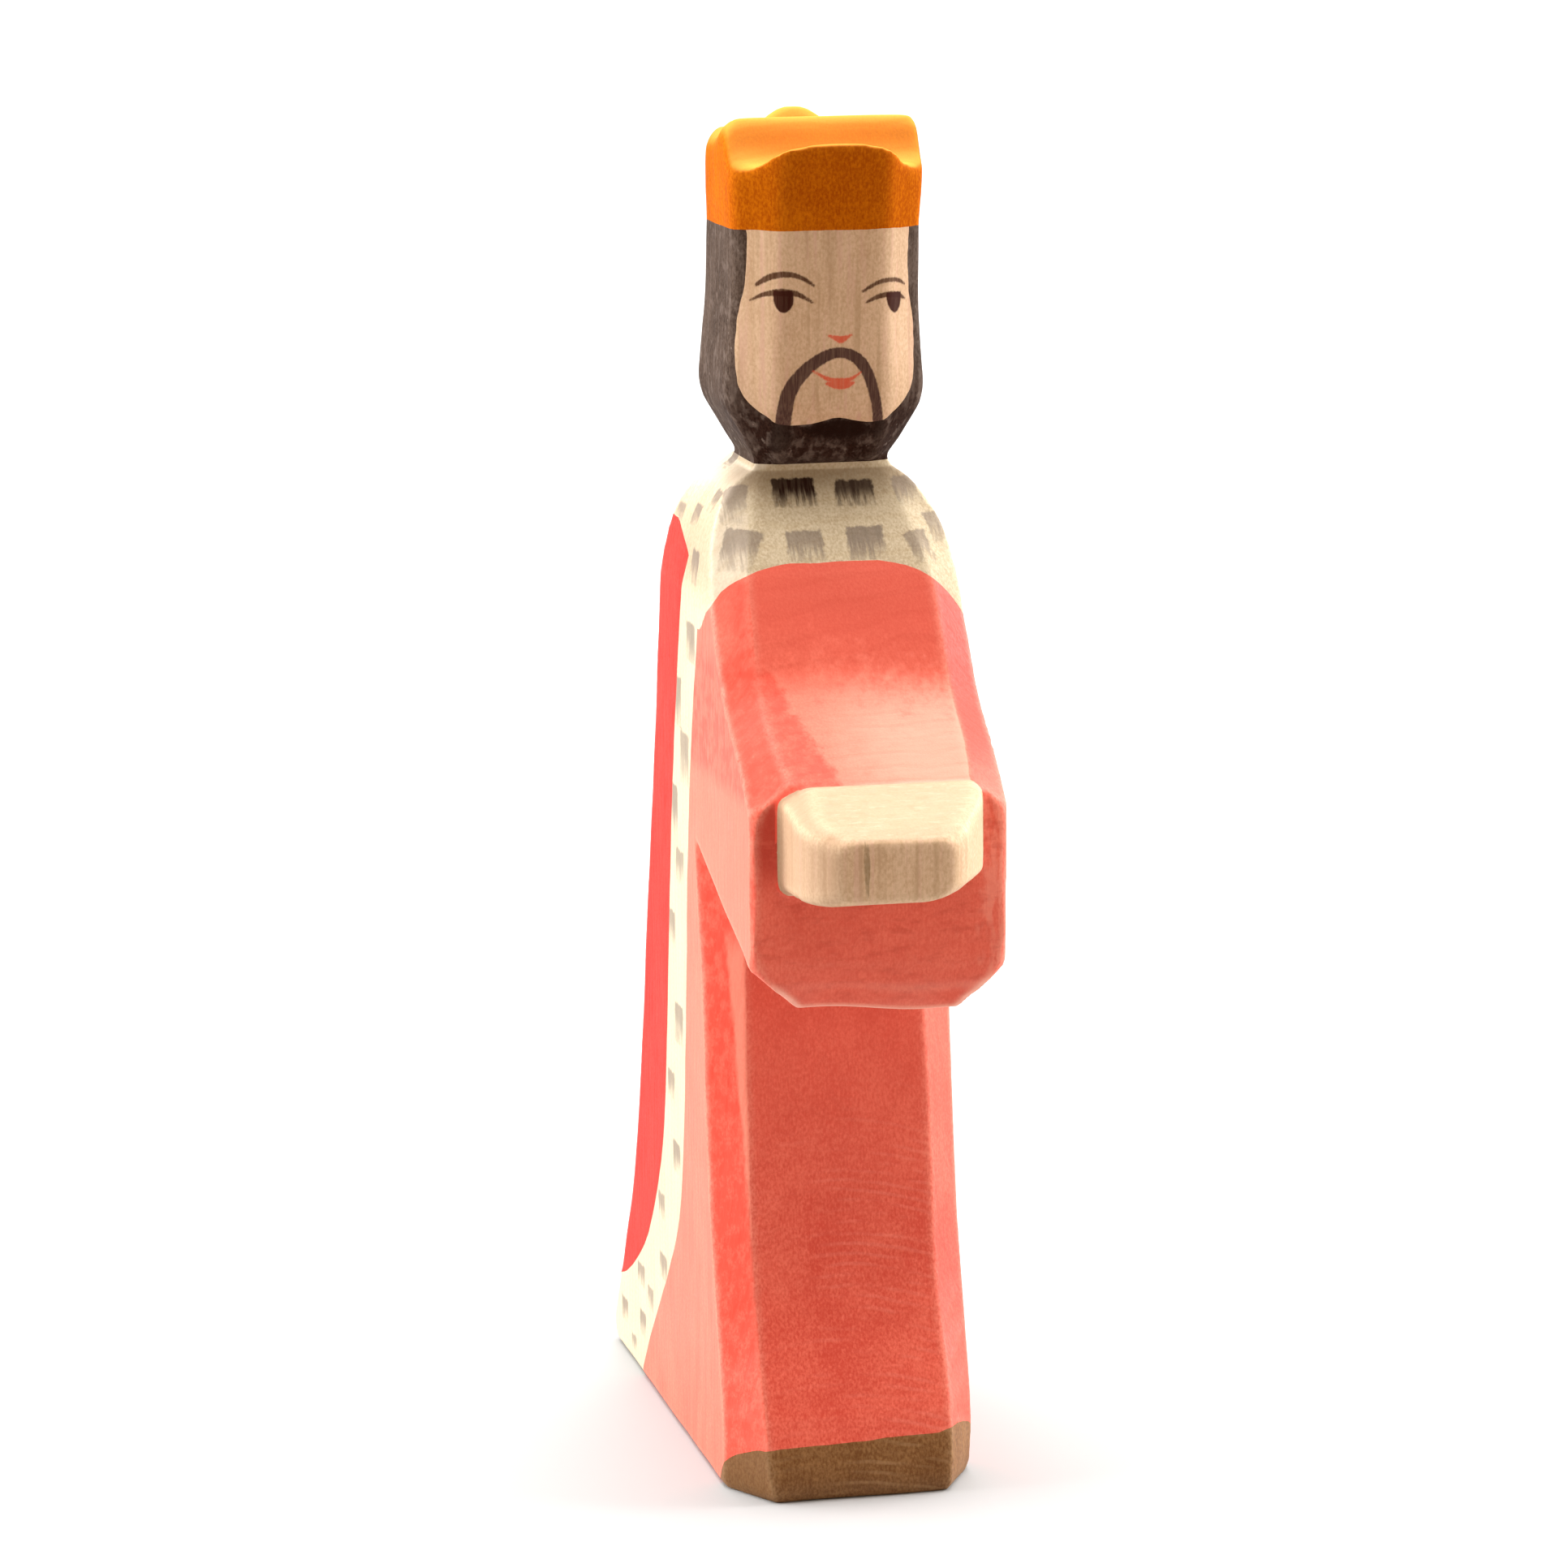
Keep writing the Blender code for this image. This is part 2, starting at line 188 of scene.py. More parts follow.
PUPILS = [
    [(-6.0, 139.6, 1.24), (-5.95, 139.0, 1.16), (-5.9, 138.5, 0.84), (-5.9, 138.2, 0.50)],
    [(7.25, 139.2, 1.34), (7.3, 138.7, 1.22), (7.4, 138.1, 0.84), (7.4, 137.8, 0.46)],
]
PUPIL_TOPS = (140.2, 139.65)         # where the right and the left lid cut them off
NOSE = [
    (-0.6, 134.9, 0.12), (0.2, 134.6, 0.30), (0.8, 134.4, 0.42), (1.4, 134.6, 0.28), (2.0, 134.9, 0.12),
]
LIPS = [
    [(-2.5, 130.9, 0.10), (-1.5, 130.3, 0.18), (-0.4, 129.8, 0.26), (0.8, 129.7, 0.28),
     (2.0, 129.8, 0.24), (3.2, 130.6, 0.08)],
    [(-0.8, 129.4, 0.20), (0.1, 129.15, 0.40), (0.8, 129.1, 0.46), (1.6, 129.15, 0.38),
     (2.3, 129.4, 0.16)],
]
MOUSTACHE = [
    (-5.8, 123.6, 0.96), (-5.7, 126.4, 0.92), (-5.1, 128.7, 0.86), (-3.9, 130.4, 0.78),
    (-2.4, 131.7, 0.72), (-0.8, 132.6, 0.66), (0.6, 132.9, 0.62), (2.0, 132.6, 0.64),
    (3.2, 131.7, 0.68), (4.1, 130.2, 0.66), (4.7, 128.4, 0.62), (5.2, 126.3, 0.60), (5.6, 123.6, 0.62),
]
# Where the beard's stain was laid twice, and the line between the two hands, in the same way.
BEARD_OVERLAPS = [
    [(-3.0, 123.9, 0.3), (-1.2, 123.9, 0.9), (1.0, 123.9, 1.2), (3.2, 123.8, 0.9), (4.8, 123.6, 0.3)],
    [(-6.0, 124.6, 0.9), (-5.9, 123.2, 1.3), (-6.1, 122.2, 1.0)],
    [(5.6, 124.4, 0.6), (5.6, 123.4, 0.7)],
]
CREASE = [(-5.1, 83.0, 0.14), (-5.0, 80.6, 0.34), (-5.0, 78.6, 0.26), (-5.0, 76.6, 0.12)]

# Ermine dabs on the collar: (x, y, z, half-width, half-height, darkness).
COLLAR_DABS = [
    (-3.8, 17.3, 116.2, 2.6, 1.9, 1.0), (3.5, 17.0, 115.9, 2.3, 1.8, 0.9),
    (-3.6, 12.9, 110.5, 2.2, 2.1, 0.45), (3.8, 12.8, 110.6, 2.2, 2.5, 0.60),
    (-11.2, 13.5, 110.2, 2.2, 2.8, 0.35), (10.2, 12.8, 110.2, 1.5, 2.2, 0.30),
    (-11.0, 17.6, 115.0, 1.6, 2.6, 0.26), (-8.5, 28.6, 118.6, 1.6, 1.3, 0.60),
    (-13.4, 26.4, 112.9, 1.7, 1.4, 0.55), (-12.2, 21.6, 115.2, 1.5, 1.5, 0.45),
    (-14.7, 22.0, 107.2, 1.8, 2.0, 0.60), (9.6, 17.7, 116.0, 1.7, 2.0, 0.30),
    (13.0, 15.8, 112.0, 1.4, 2.0, 0.35), (13.0, 24.0, 114.0, 1.7, 1.6, 0.40),
    (9.3, 29.0, 118.2, 1.7, 1.4, 0.40), (14.2, 20.0, 109.6, 1.7, 1.7, 0.40),
    (14.1, 31.0, 112.4, 1.6, 1.3, 0.35), (-13.9, 34.0, 112.4, 1.7, 1.2, 0.35),
    (-4.6, 36.0, 116.6, 2.1, 1.4, 0.40), (4.2, 36.0, 116.6, 2.1, 1.4, 0.40),
    (-9.6, 37.4, 113.4, 1.8, 1.3, 0.35), (0.2, 38.4, 113.9, 2.0, 1.2, 0.40),
    (9.4, 37.6, 113.3, 1.8, 1.3, 0.35),
]
# Dabs down each flank: (y, z, half-width, half-height, darkness).
TRIM_DABS = [
    (22.8, 98.1, 2.3, 2.4, 0.45), (30.2, 90.2, 2.2, 3.0, 0.42), (26.4, 84.0, 2.3, 3.1, 0.30),
    (33.0, 76.4, 2.2, 3.1, 0.42), (29.8, 70.2, 2.2, 2.0, 0.30), (34.6, 61.6, 2.1, 2.2, 0.35),
    (30.8, 50.6, 2.3, 2.5, 0.40), (35.6, 42.0, 1.9, 1.7, 0.40), (32.8, 33.6, 2.1, 1.9, 0.45),
    (41.8, 25.5, 1.8, 1.6, 0.35), (41.2, 17.9, 2.1, 1.6, 0.40), (54.8, 13.0, 2.1, 1.4, 0.45),
    (49.0, 11.4, 1.8, 1.5, 0.30), (65.2, 5.6, 1.9, 1.5, 0.50), (54.0, 7.0, 1.9, 1.6, 0.45),
    (59.6, 3.0, 1.6, 1.0, 0.35),
]
# Dabs round the rear of the train, which are all of one size: (x, z, darkness).
TRAIN_DABS = [(-9.6, 4.6, 0.4), (-3.4, 2.9, 0.5), (2.8, 5.0, 0.4), (9.2, 3.2, 0.45)]
TRAIN_DAB_HALF = (1.9, 1.3)
HALF_BOARD = 15.0
TRAIN_REAR = 74.0
DAB_REACH = 2.5           # a dab leaves out what lies further off its plane, or
DAB_TURN = 0.5            # turns away from it by more than this cosine

# The sheet that the figure stands on, in metres.
FLOOR_HALF = 3.0
FLOOR_AHEAD = 0.17
FLOOR_GREY = (0.36, 0.36, 0.36)

# The light tent: its shaded front, and its sides and back.
TENT_FRONT = (0.63, 0.53, 0.43)
TENT_AROUND = (0.95, 0.95, 0.95)

# The camera, to the figure's right and a little above it; its angles are in degrees.
EYE = (-152.2, -654.8, 206.9)
YAW = 13.042
PITCH = 10.845
ROLL = -0.259
SENSOR = 36.0
LENS = 130.43


def place(x, y, z):
    """A point given from the toe line, as a point in the frame."""
    return Vector((x, y - TOE_TO_MIDDLE, z)) * MM


def ease(t):
    """0 up to 0, 1 from 1 on, and a soft step between."""
    t = np.clip(t, 0.0, 1.0)
    return t * t * (3.0 - 2.0 * t)


def share(value, start, stop):
    """How far a value is on its way from start to stop, from 0 to 1."""
    return min(max((value - start) / (stop - start), 0.0), 1.0)


def modified(obj):
    """The mesh that an object's modifiers give."""
    bpy.context.view_layer.update()
    graph = bpy.context.evaluated_depsgraph_get()
    return bpy.data.meshes.new_from_object(obj.evaluated_get(graph))


def settled(obj):
    """The mesh that an object's modifiers give; the object goes."""
    mesh = modified(obj)
    bpy.data.objects.remove(obj, do_unlink=True)
    return mesh


def show(name, data):
    """A new object in the scene."""
    obj = bpy.data.objects.new(name, data)
    bpy.context.scene.collection.objects.link(obj)
    return obj


def mesh_from(solid, name):
    """A mesh of a bmesh, which goes."""
    mesh = bpy.data.meshes.new(name)
    solid.to_mesh(mesh)
    solid.free()
    return mesh


def read_points(mesh):
    """A mesh's points in the frame, in metres."""
    points = np.zeros(len(mesh.vertices) * 3, np.float32)
    mesh.vertices.foreach_get("co", points)
    return points.reshape(-1, 3)


def write_points(mesh, points):
    mesh.vertices.foreach_set("co", np.asarray(points, np.float32).ravel())


def normals_of(mesh):
    normals = np.zeros(len(mesh.vertices) * 3, np.float32)
    mesh.vertex_normals.foreach_get("vector", normals)
    return normals.reshape(-1, 3)


def points_of(mesh):
    """A mesh's points, in millimetres, with y counted from the toe line."""
    return read_points(mesh) / MM + np.array([0.0, TOE_TO_MIDDLE, 0.0])


# ---------------------------------------------------------------- the skin

def swelled(node, into):
    """Adds a node's closed skin, each face moved out by SWELL, to the bmesh."""
    solid = bmesh.new()
    solid.from_mesh(node.data)
    bmesh.ops.remove_doubles(solid, verts=solid.verts, dist=WELD * MM)
    solid.normal_update()
    factors = [min(vertex.calc_shell_factor(), LONGEST_SWELL) for vertex in solid.verts]
    moves = [vertex.normal * (SWELL * MM * factor) for vertex, factor in zip(solid.verts, factors)]
    for vertex, move in zip(solid.verts, moves):
        vertex.co += move
    mesh = mesh_from(solid, "swelled")
    into.from_mesh(mesh)
    bpy.data.meshes.remove(mesh)


def smoothed(block, name, steps):
    """Adds a smoothing step to the block's modifiers."""
    smoothing = block.modifiers.new(name, "SMOOTH")
    smoothing.factor = SMOOTHING
    smoothing.iterations = steps
    return smoothing


def how_sanded(spot):
    """How fully a point is sanded, from 0 to 1: on the head, and where the chest meets the arms."""
    height = spot.z / MM
    head = share(height, HEAD_SANDED_FROM, HEAD_SANDED_FULLY)
    if abs(spot.x) < CHEST_FLAT * MM and spot.y < -CHEST_FRONT * MM:
        return max(head, 1.0 - abs(height - CHEST_BREAK) / CHEST_SANDED)
    return head


def joined_block(nodes):
    """One skin round all nodes, with the gaps closed and the arrises worn round."""
    together = bmesh.new()
    for name in sorted(nodes):
        swelled(nodes[name], together)
    block = show("block", mesh_from(together, "block"))
    skin = block.modifiers.new("skin", "REMESH")
    skin.mode = "VOXEL"
    skin.voxel_size = VOXEL * MM
    mesh = settled(block)
    write_points(mesh, read_points(mesh) - normals_of(mesh) * SWELL * MM)
    block = show("block", mesh)
    smoothed(block, "rounding", ROUNDING_STEPS)
    sanded = block.vertex_groups.new(name="sanded")
    for vertex in block.data.vertices:
        amount = how_sanded(vertex.co)
        if amount > 0.0:
            sanded.add([vertex.index], amount, "REPLACE")
    smoothed(block, "sanding", SANDING_STEPS).vertex_group = sanded.name
    return show("block", settled(block))


def hand_carved(mesh):
    """Where the knife strayed: under the arms, at the crests and hands and, a little, everywhere."""
    points = read_points(mesh)
    x, y, z = points[:, 0] / MM, points[:, 1] / MM + TOE_TO_MIDDLE, points[:, 2] / MM
    under_arms = ease((UNDER_ARMS_TOP - z) / UNDER_ARMS_FADE) * ease((z - UNDER_ARMS_LOW) / UNDER_ARMS_FADE)
    leftward = ease((x - UNDER_ARMS_FROM) / UNDER_ARMS_WIDTH)
    under_arms *= ease((UNDER_ARMS_REAR - y) / UNDER_ARMS_FADE) * leftward
    points[:, 2] -= under_arms * UNDER_ARMS_SAG * MM
    points[:, 2] += ease((z - CREST_BASE) / CREST_HEIGHT) * CREST_RISE * MM
    points[:, 0] -= ease((FINGERS_ROOT - y) / FINGERS_LENGTH) * FINGERS_LEAN * MM
    corner = ease((CORNER_WRIST - y) / CORNER_DEPTH) * ease((x - CORNER_FROM) / CORNER_WIDTH)
    corner = corner * ease((CORNER_TOP - z) / CORNER_TOP_FADE) * ease((z - CORNER_LOW) / CORNER_LOW_FADE)
    points[:, 2] += corner * CORNER_RISE * MM
    for index, spot in enumerate(points):
        waver = noise.noise_vector(Vector(spot) / (KNIFE_WAVELENGTH * MM))
        points[index] += np.array(waver) * KNIFE_WAVER * MM
    points[:, 2] = np.where(z < FOOT, np.minimum(points[:, 2], z * MM), points[:, 2])
    write_points(mesh, points)


def kept_in_box(mesh, lowest, highest):
    """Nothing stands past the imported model's box."""
    write_points(mesh, np.clip(read_points(mesh), np.array(lowest), np.array(highest)))
    mesh.update()


# ---------------------------------------------------------------- the cuts

def smooth(rows, steps):
    """Points on a Catmull-Rom curve through the rows, with every row on it."""
    ends = [rows[0]] + list(rows) + [rows[-1]]
    points = []
    for before, start, stop, after in zip(ends, ends[1:], ends[2:], ends[3:]):
        for step in range(steps):
            t = step / steps
            points.append(tuple(
                0.5 * (2 * b + (c - a) * t + (2 * a - 5 * b + 4 * c - d) * t * t
                       + (3 * b - a - 3 * c + d) * t ** 3)
                for a, b, c, d in zip(before, start, stop, after)
            ))
    return points + [tuple(rows[-1])]


def stray(x, y, z, wander):
    """How far a painted edge strays at a point, in long waves with short ones on them."""
    spot = Vector((x, y, z)) / BRUSH_WAVELENGTH
    return wander * (noise.noise(spot) + 0.5 * noise.noise(spot * 3.1))


def cutter(name, edge, far, drop=None, wander=BRUSH_WANDER, lean=0.0):
    """A closed cutter through the board, from a curved edge to far corners, both as (y, z).

    The edge is lowered by drop(x, y), and it leans forward by lean for each millimetre of x.
    """
    curve = smooth(edge, EDGE_STEPS)
    count = round(2 * CUTTER_HALF / CUTTER_PITCH)
    solid = bmesh.new()
    loops = []
    for step in range(count + 1):
        x = CUTTER_HALF * (2 * step / count - 1)
        ring = []
        for i, (y, z) in enumerate(curve):
            before, after = curve[max(i - 1, 0)], curve[min(i + 1, len(curve) - 1)]
            along = Vector((after[0] - before[0], after[1] - before[1])).normalized()
            off = stray(x, y, z, wander)
            low = drop(x, y) if drop else 0.0
            ring.append(place(x, y - along.y * off - lean * x, z + along.x * off - low))
        ring += [place(x, y, z) for y, z in far]
        loops.append([solid.verts.new(point) for point in ring])
    for near, next_loop in zip(loops, loops[1:]):
        for i in range(len(near)):
            j = (i + 1) % len(near)
            solid.faces.new((near[i], near[j], next_loop[j], next_loop[i]))
    solid.faces.new(loops[0][::-1])
    solid.faces.new(loops[-1])
    bmesh.ops.recalc_face_normals(solid, faces=solid.faces)
    bmesh.ops.triangulate(solid, faces=[face for face in solid.faces if len(face.verts) > 4])
    return show(name, mesh_from(solid, name))


def split(block, tool, name):
    """Cuts the block in two: the piece inside the tool, and the rest."""
    halves = []
    for operation in ("INTERSECT", "DIFFERENCE"):
        half = show(name, block.data.copy())
        cut = half.modifiers.new("cut", "BOOLEAN")
        cut.solver = "MANIFOLD"
        cut.operation = operation
        cut.object = tool
        halves.append(show(name, settled(half)))
    for used in (block, tool):
        bpy.data.objects.remove(used, do_unlink=True)
    return halves


def collar_drop(x, y):
    """The collar hangs lower towards the flanks, less so behind, and lowest on the right flank."""
    behind = share(y, 18.0, 34.0)
    right_flank = share(x, -13.6, -14.8) * (1.0 - behind)
    towards_flanks = (1.1 - 0.8 * behind) * ((x + COLLAR_LEAN) / 10.0) ** 4
    return towards_flanks + COLLAR_FLANK_DROP * right_flank * share(y, 11.0, 16.5)


def shoe_drop(x, y):
    """The shoes' edge leans, and rises once more on the figure's left."""
    return -0.03 * x - 0.3 * max(x - 9.5, 0.0)


def beard_drop(x, y):
    """The beard's top edge rises in the middle, under the mouth."""
    return 0.55 - 0.85 * exp(-((x - 0.7) / 2.4) ** 2)


def cut_into_pieces(block):
    """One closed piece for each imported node, by name."""
    above = [(CLEAR_BEHIND, CLEAR_ABOVE), (CLEAR_AHEAD, CLEAR_ABOVE)]
    pieces = {}
    brim = [(y, CROWN_SEAM) for y in (CLEAR_AHEAD, 10.0, CLEAR_BEHIND)]
    pieces["crown"], block = split(block, cutter("crown_seam", brim, above), "crown")
    chin = [(y, CHIN_SEAM) for y in (CLEAR_AHEAD, CLEAR_BEHIND)]
    head, block = split(block, cutter("chin_seam", chin, above, wander=0.0), "head")
    ahead = [(4.0, 149.0)]
    hairline = cutter("hairline", FACE_EDGE, ahead, beard_drop, lean=FACE_LEAN)
    pieces["face"], pieces["hair_and_beard"] = split(head, hairline, "face")
    fingers = [(PAST_FINGERS, 110.0), (PAST_FINGERS, 60.0)]
    wrist = cutter("wrist", [(CUFF_FACE, 60.0), (CUFF_FACE, 110.0)], fingers, wander=0.0)
    pieces["hands"], block = split(block, wrist, "hands")
    collar = cutter("collar", COLLAR_EDGE, [(CLEAR_BEHIND, 130.0), (-4.0, 130.0)], collar_drop)
    pieces["ermine_collar"], block = split(block, collar, "ermine_collar")
    under_sleeves = [(CLEAR_AHEAD, 103.0), (CLEAR_AHEAD, 56.0), (9.5, 56.0)]
    arms = cutter("arms", SLEEVE_EDGE, under_sleeves, wander=0.0)
    pieces["sleeves"], block = split(block, arms, "sleeves")
    toes = cutter("toes", SHOE_TOP, [(-6.0, -4.0)], shoe_drop)
    pieces["shoes"], block = split(block, toes, "shoes")
    train = cutter("train", CAPE_EDGE, [(PAST_TRAIN, 6.0), (PAST_TRAIN, 120.0), (22.6, 120.0)])
    pieces["cape"], block = split(block, train, "cape")
    border = cutter("border", TRIM_EDGE, [(PAST_TRAIN, -4.0), (PAST_TRAIN, 120.0), (14.8, 120.0)])
    pieces["ermine_trim"], pieces["robe"] = split(block, border, "ermine_trim")
    return pieces


# ---------------------------------------------------------------- painted fields on the pieces

def keep_field(mesh, name, values):
    """Stores one number for each point, for the finish to read."""
    field = mesh.attributes.new(name, "FLOAT", "POINT")
    field.data.foreach_set("value", np.asarray(values, np.float32))


def round_the_face(x):
    """How far round the face a place lies: the cheeks are cut back, so they count for more."""
    past = np.maximum(np.abs(x) - FACE_FLAT, 0.0)
    return x + np.sign(x) * past * (1.0 / CHEEK_TURN - 1.0)


def stroke_distance(x, z, strokes):
    """Signed distance to the nearest stroke's edge, less than 0 inside it."""
    nearest = np.full(len(x), FAR_OFF)
    u = round_the_face(x)
    for stroke in strokes:
        curve = smooth(stroke, STROKE_STEPS)
        for (x0, z0, r0), (x1, z1, r1) in zip(curve, curve[1:]):
            u0, u1 = round_the_face(np.array([x0, x1]))
            run, rise = u1 - u0, z1 - z0
            t = np.clip(((u - u0) * run + (z - z0) * rise) / (run * run + rise * rise), 0.0, 1.0)
            gap = np.hypot(u - u0 - t * run, z - z0 - t * rise) - (r0 + t * (r1 - r0))
            nearest = np.minimum(nearest, gap)
    return nearest


def paint_strokes(piece, name, strokes):
    spots = points_of(piece.data)
    keep_field(piece.data, name, stroke_distance(spots[:, 0], spots[:, 2], strokes))


def paint_pupils(piece):
    """The pupils hang from the lids, so they are cut off flat at the top."""
    spots = points_of(piece.data)
    gap = stroke_distance(spots[:, 0], spots[:, 2], PUPILS)
    top = np.where(spots[:, 0] < 0.0, PUPIL_TOPS[0], PUPIL_TOPS[1])
    keep_field(piece.data, "pupils", np.maximum(gap, spots[:, 2] - top))


def paint_dabs(piece, dabs):
    """Rectangular brush dabs that follow the slope: their edges, darkness and fall."""
    spots, facing = points_of(piece.data), normals_of(piece.data)
    edge = np.full(len(spots), FAR_OFF)
    tone, fall = np.zeros(len(spots)), np.zeros(len(spots))
    for x, y, z, half_width, half_height, dark in dabs:
        centre = np.array([x, y, z])
        index = np.argmin(((spots - centre) ** 2).sum(1))
        normal = facing[index]
        across = np.cross([0.0, 0.0, 1.0], normal)
        across /= max(np.linalg.norm(across), 0.01)
        down = np.cross(across, normal)
        away = spots - spots[index]
        along = away @ down
        apart = np.maximum(np.abs(away @ across) - half_width, np.abs(along) - half_height)
        on_it = (facing @ normal > DAB_TURN) & (np.abs(away @ normal) < DAB_REACH)
        apart = np.where(on_it, apart, FAR_OFF)
        closer = apart < edge
        edge = np.where(closer, apart, edge)
        tone = np.where(closer, dark, tone)
        fall = np.where(closer, along / half_height, fall)
    keep_field(piece.data, "dab_edge", edge)
    keep_field(piece.data, "dab_tone", tone)
    keep_field(piece.data, "dab_fall", fall)


def wear(mesh):
    """How much each point of the skin stands out, as an arris does: 0 on flats, 1 on arrises."""
    ends = np.zeros(len(mesh.edges) * 2, np.int32)
    mesh.edges.foreach_get("vertices", ends)
    ends = ends.reshape(-1, 2)
    spots, normals = points_of(mesh), normals_of(mesh)

    def neighbours_mean(values):
        total = np.zeros_like(values)
        count = np.zeros(len(values))
        for near, far in ((0, 1), (1, 0)):
            np.add.at(total, ends[:, near], values[ends[:, far]])
            np.add.at(count, ends[:, near], 1.0)
        return total / count.reshape((-1,) + (1,) * (values.ndim - 1))

    out = ((spots - neighbours_mean(spots)) * normals).sum(1)
    for _ in range(WEAR_BLUR_STEPS):
        out = 0.5 * (out + neighbours_mean(out))
    return np.clip(out / WEAR_FULL, 0.0, 1.0)


def spread_wear(mesh, worn, pieces):
    """Gives each piece the wear of the skin that it was cut from."""
    tree = kdtree.KDTree(len(mesh.vertices))
    for vertex in mesh.vertices:
        tree.insert(vertex.co, vertex.index)
    tree.balance()
    for piece in pieces:
        keep_field(piece.data, "worn", [worn[tree.find(v.co)[1]] for v in piece.data.vertices])


def finer(piece):
    """The piece with each face cut in four, so that thin strokes stay sharp."""
    detail = piece.modifiers.new("detail", "SUBSURF")
    detail.subdivision_type = "SIMPLE"
    detail.levels = 1
    detail.render_levels = 1
    mesh = modified(piece)
    piece.modifiers.clear()
    piece.data = mesh


# ---------------------------------------------------------------- the finishes

class Finish:
    """One wood finish as shader nodes. Places in it are in millimetres of the frame."""

    def __init__(self, name):
        self.material = bpy.data.materials.new(name)
        self.material.use_nodes = True
        self.tree = self.material.node_tree
        self.shader = self.tree.nodes["Principled BSDF"]
        place_and_facing = self.node("TexCoord", {})
        spot = place_and_facing.outputs["Object"]
        self.spot = self.node("VectorMath", {0: spot, "Scale": 1.0 / MM}, operation="SCALE").outputs[0]
        self.facing = place_and_facing.outputs["Normal"]
        # The fibres and streaks run up the board; the others are as wide as they are high.
        self.fibre = self.noise((5.0, 5.0, 0.28), 3.0)
        self.streak = self.noise((1.3, 1.3, 0.05), 2.0)
        self.speckle = self.noise((3.4, 3.4, 2.4), 3.0)
        self.blotch = self.noise((0.17, 0.17, 0.10), 3.0)
        self.rings = self.ring_lines()
        self.worn = self.field("worn")

    def node(self, kind, inputs, **settings):
        """A shader node, with each input linked to a socket or set to a value."""
        node = self.tree.nodes.new("ShaderNode" + kind)
        for key, value in settings.items():
            setattr(node, key, value)
        for key, value in inputs.items():
            if isinstance(value, bpy.types.NodeSocket):
                self.tree.links.new(value, node.inputs[key])
            else:
                node.inputs[key].default_value = value
        return node

    def calc(self, operation, *values, clamp=False):
        """One sum on numbers or sockets, by the name that Blender's Math node gives it."""
        inputs = dict(enumerate(values))
        return self.node("Math", inputs, operation=operation, use_clamp=clamp).outputs[0]

    def noise(self, scales, detail, roughness=0.55):
        """Noise from 0 to 1 with its own scale along each axis, per millimetre."""
        stretched = self.node("VectorMath", {0: self.spot, 1: scales}, operation="MULTIPLY").outputs[0]
        inputs = {"Vector": stretched, "Scale": 1.0, "Detail": detail, "Roughness": roughness}
        return self.node("TexNoise", inputs).outputs[0]

    def field(self, name):
        """One of the numbers that keep_field stored."""
        return self.node("Attribute", {}, attribute_name=name).outputs["Fac"]

    def span(self, value, low, high, out_low=0.0, out_high=1.0):
        """The value's range from low to high, eased, as another range."""
        inputs = {"Value": value, "From Min": low, "From Max": high, "To Min": out_low, "To Max": out_high}
        return self.node("MapRange", inputs, interpolation_type="SMOOTHSTEP").outputs[0]

    def mix(self, amount, first, second, mode="MIX"):
        """The first colour, with the second over it by the amount."""
        inputs = {0: amount, 6: first, 7: second}
        for key in (6, 7):                  # the two colours
            if isinstance(inputs[key], tuple):
                inputs[key] = (*inputs[key], 1.0)
        return self.node("Mix", inputs, data_type="RGBA", blend_type=mode).outputs[2]

    def axis(self, name):
        """The place along one axis of the frame."""
        return self.node("SeparateXYZ", {0: self.spot}).outputs[name]

    def turned(self, name):
        """The part of the surface's normal along one axis of the frame."""
        return self.node("SeparateXYZ", {0: self.facing}).outputs[name]

    def product(self, first, *others):
        """Masks and amounts, multiplied."""
        for other in others:
            first = self.calc("MULTIPLY", first, other)
        return first

    def rough_edge(self, value, amount, scales):
        """The value, made ragged as a brush leaves it."""
        stray = self.calc("MULTIPLY_ADD", self.noise(scales, 3.0), amount, -0.5 * amount)
        return self.calc("ADD", value, stray)

    def ring_lines(self):
        """Growth rings round a pith that lies well outside the board, as thin dark lines."""
        apart = self.node("VectorMath", {0: self.spot, 1: PITH}, operation="SUBTRACT").outputs[0]
        flat = self.node("VectorMath", {0: apart, 1: (1.0, 1.0, 0.0)}, operation="MULTIPLY").outputs[0]
        reach = self.node("VectorMath", {0: flat}, operation="LENGTH").outputs["Value"]
        bent = self.calc("MULTIPLY_ADD", self.noise((0.06, 0.06, 0.03), 2.0), RING_BEND, reach)
        turn = self.calc("MULTIPLY", bent, 2.0 * pi / RING_PITCH)
        return self.span(self.calc("SINE", turn), 0.45, 1.0)

    def stain(self, deep, thin, low=0.38, high=0.66):
        """Stain laid over grain: deep where it pooled, thin where the wood shows through."""
        soaked = self.calc("MULTIPLY_ADD", self.speckle, 0.50, self.calc("MULTIPLY", self.blotch, 0.24))
        soaked = self.calc("MULTIPLY_ADD", self.fibre, 0.26, soaked)
        return self.mix(self.span(soaked, low, high), deep, thin)

    def rub(self, colour, bare, amount):
        """Wears the colour thin along the arrises."""
        ragged = self.calc("MULTIPLY", self.worn, self.span(self.speckle, 0.30, 0.60, 0.45, 1.0))
        return self.mix(self.calc("MULTIPLY", ragged, amount), colour, bare)

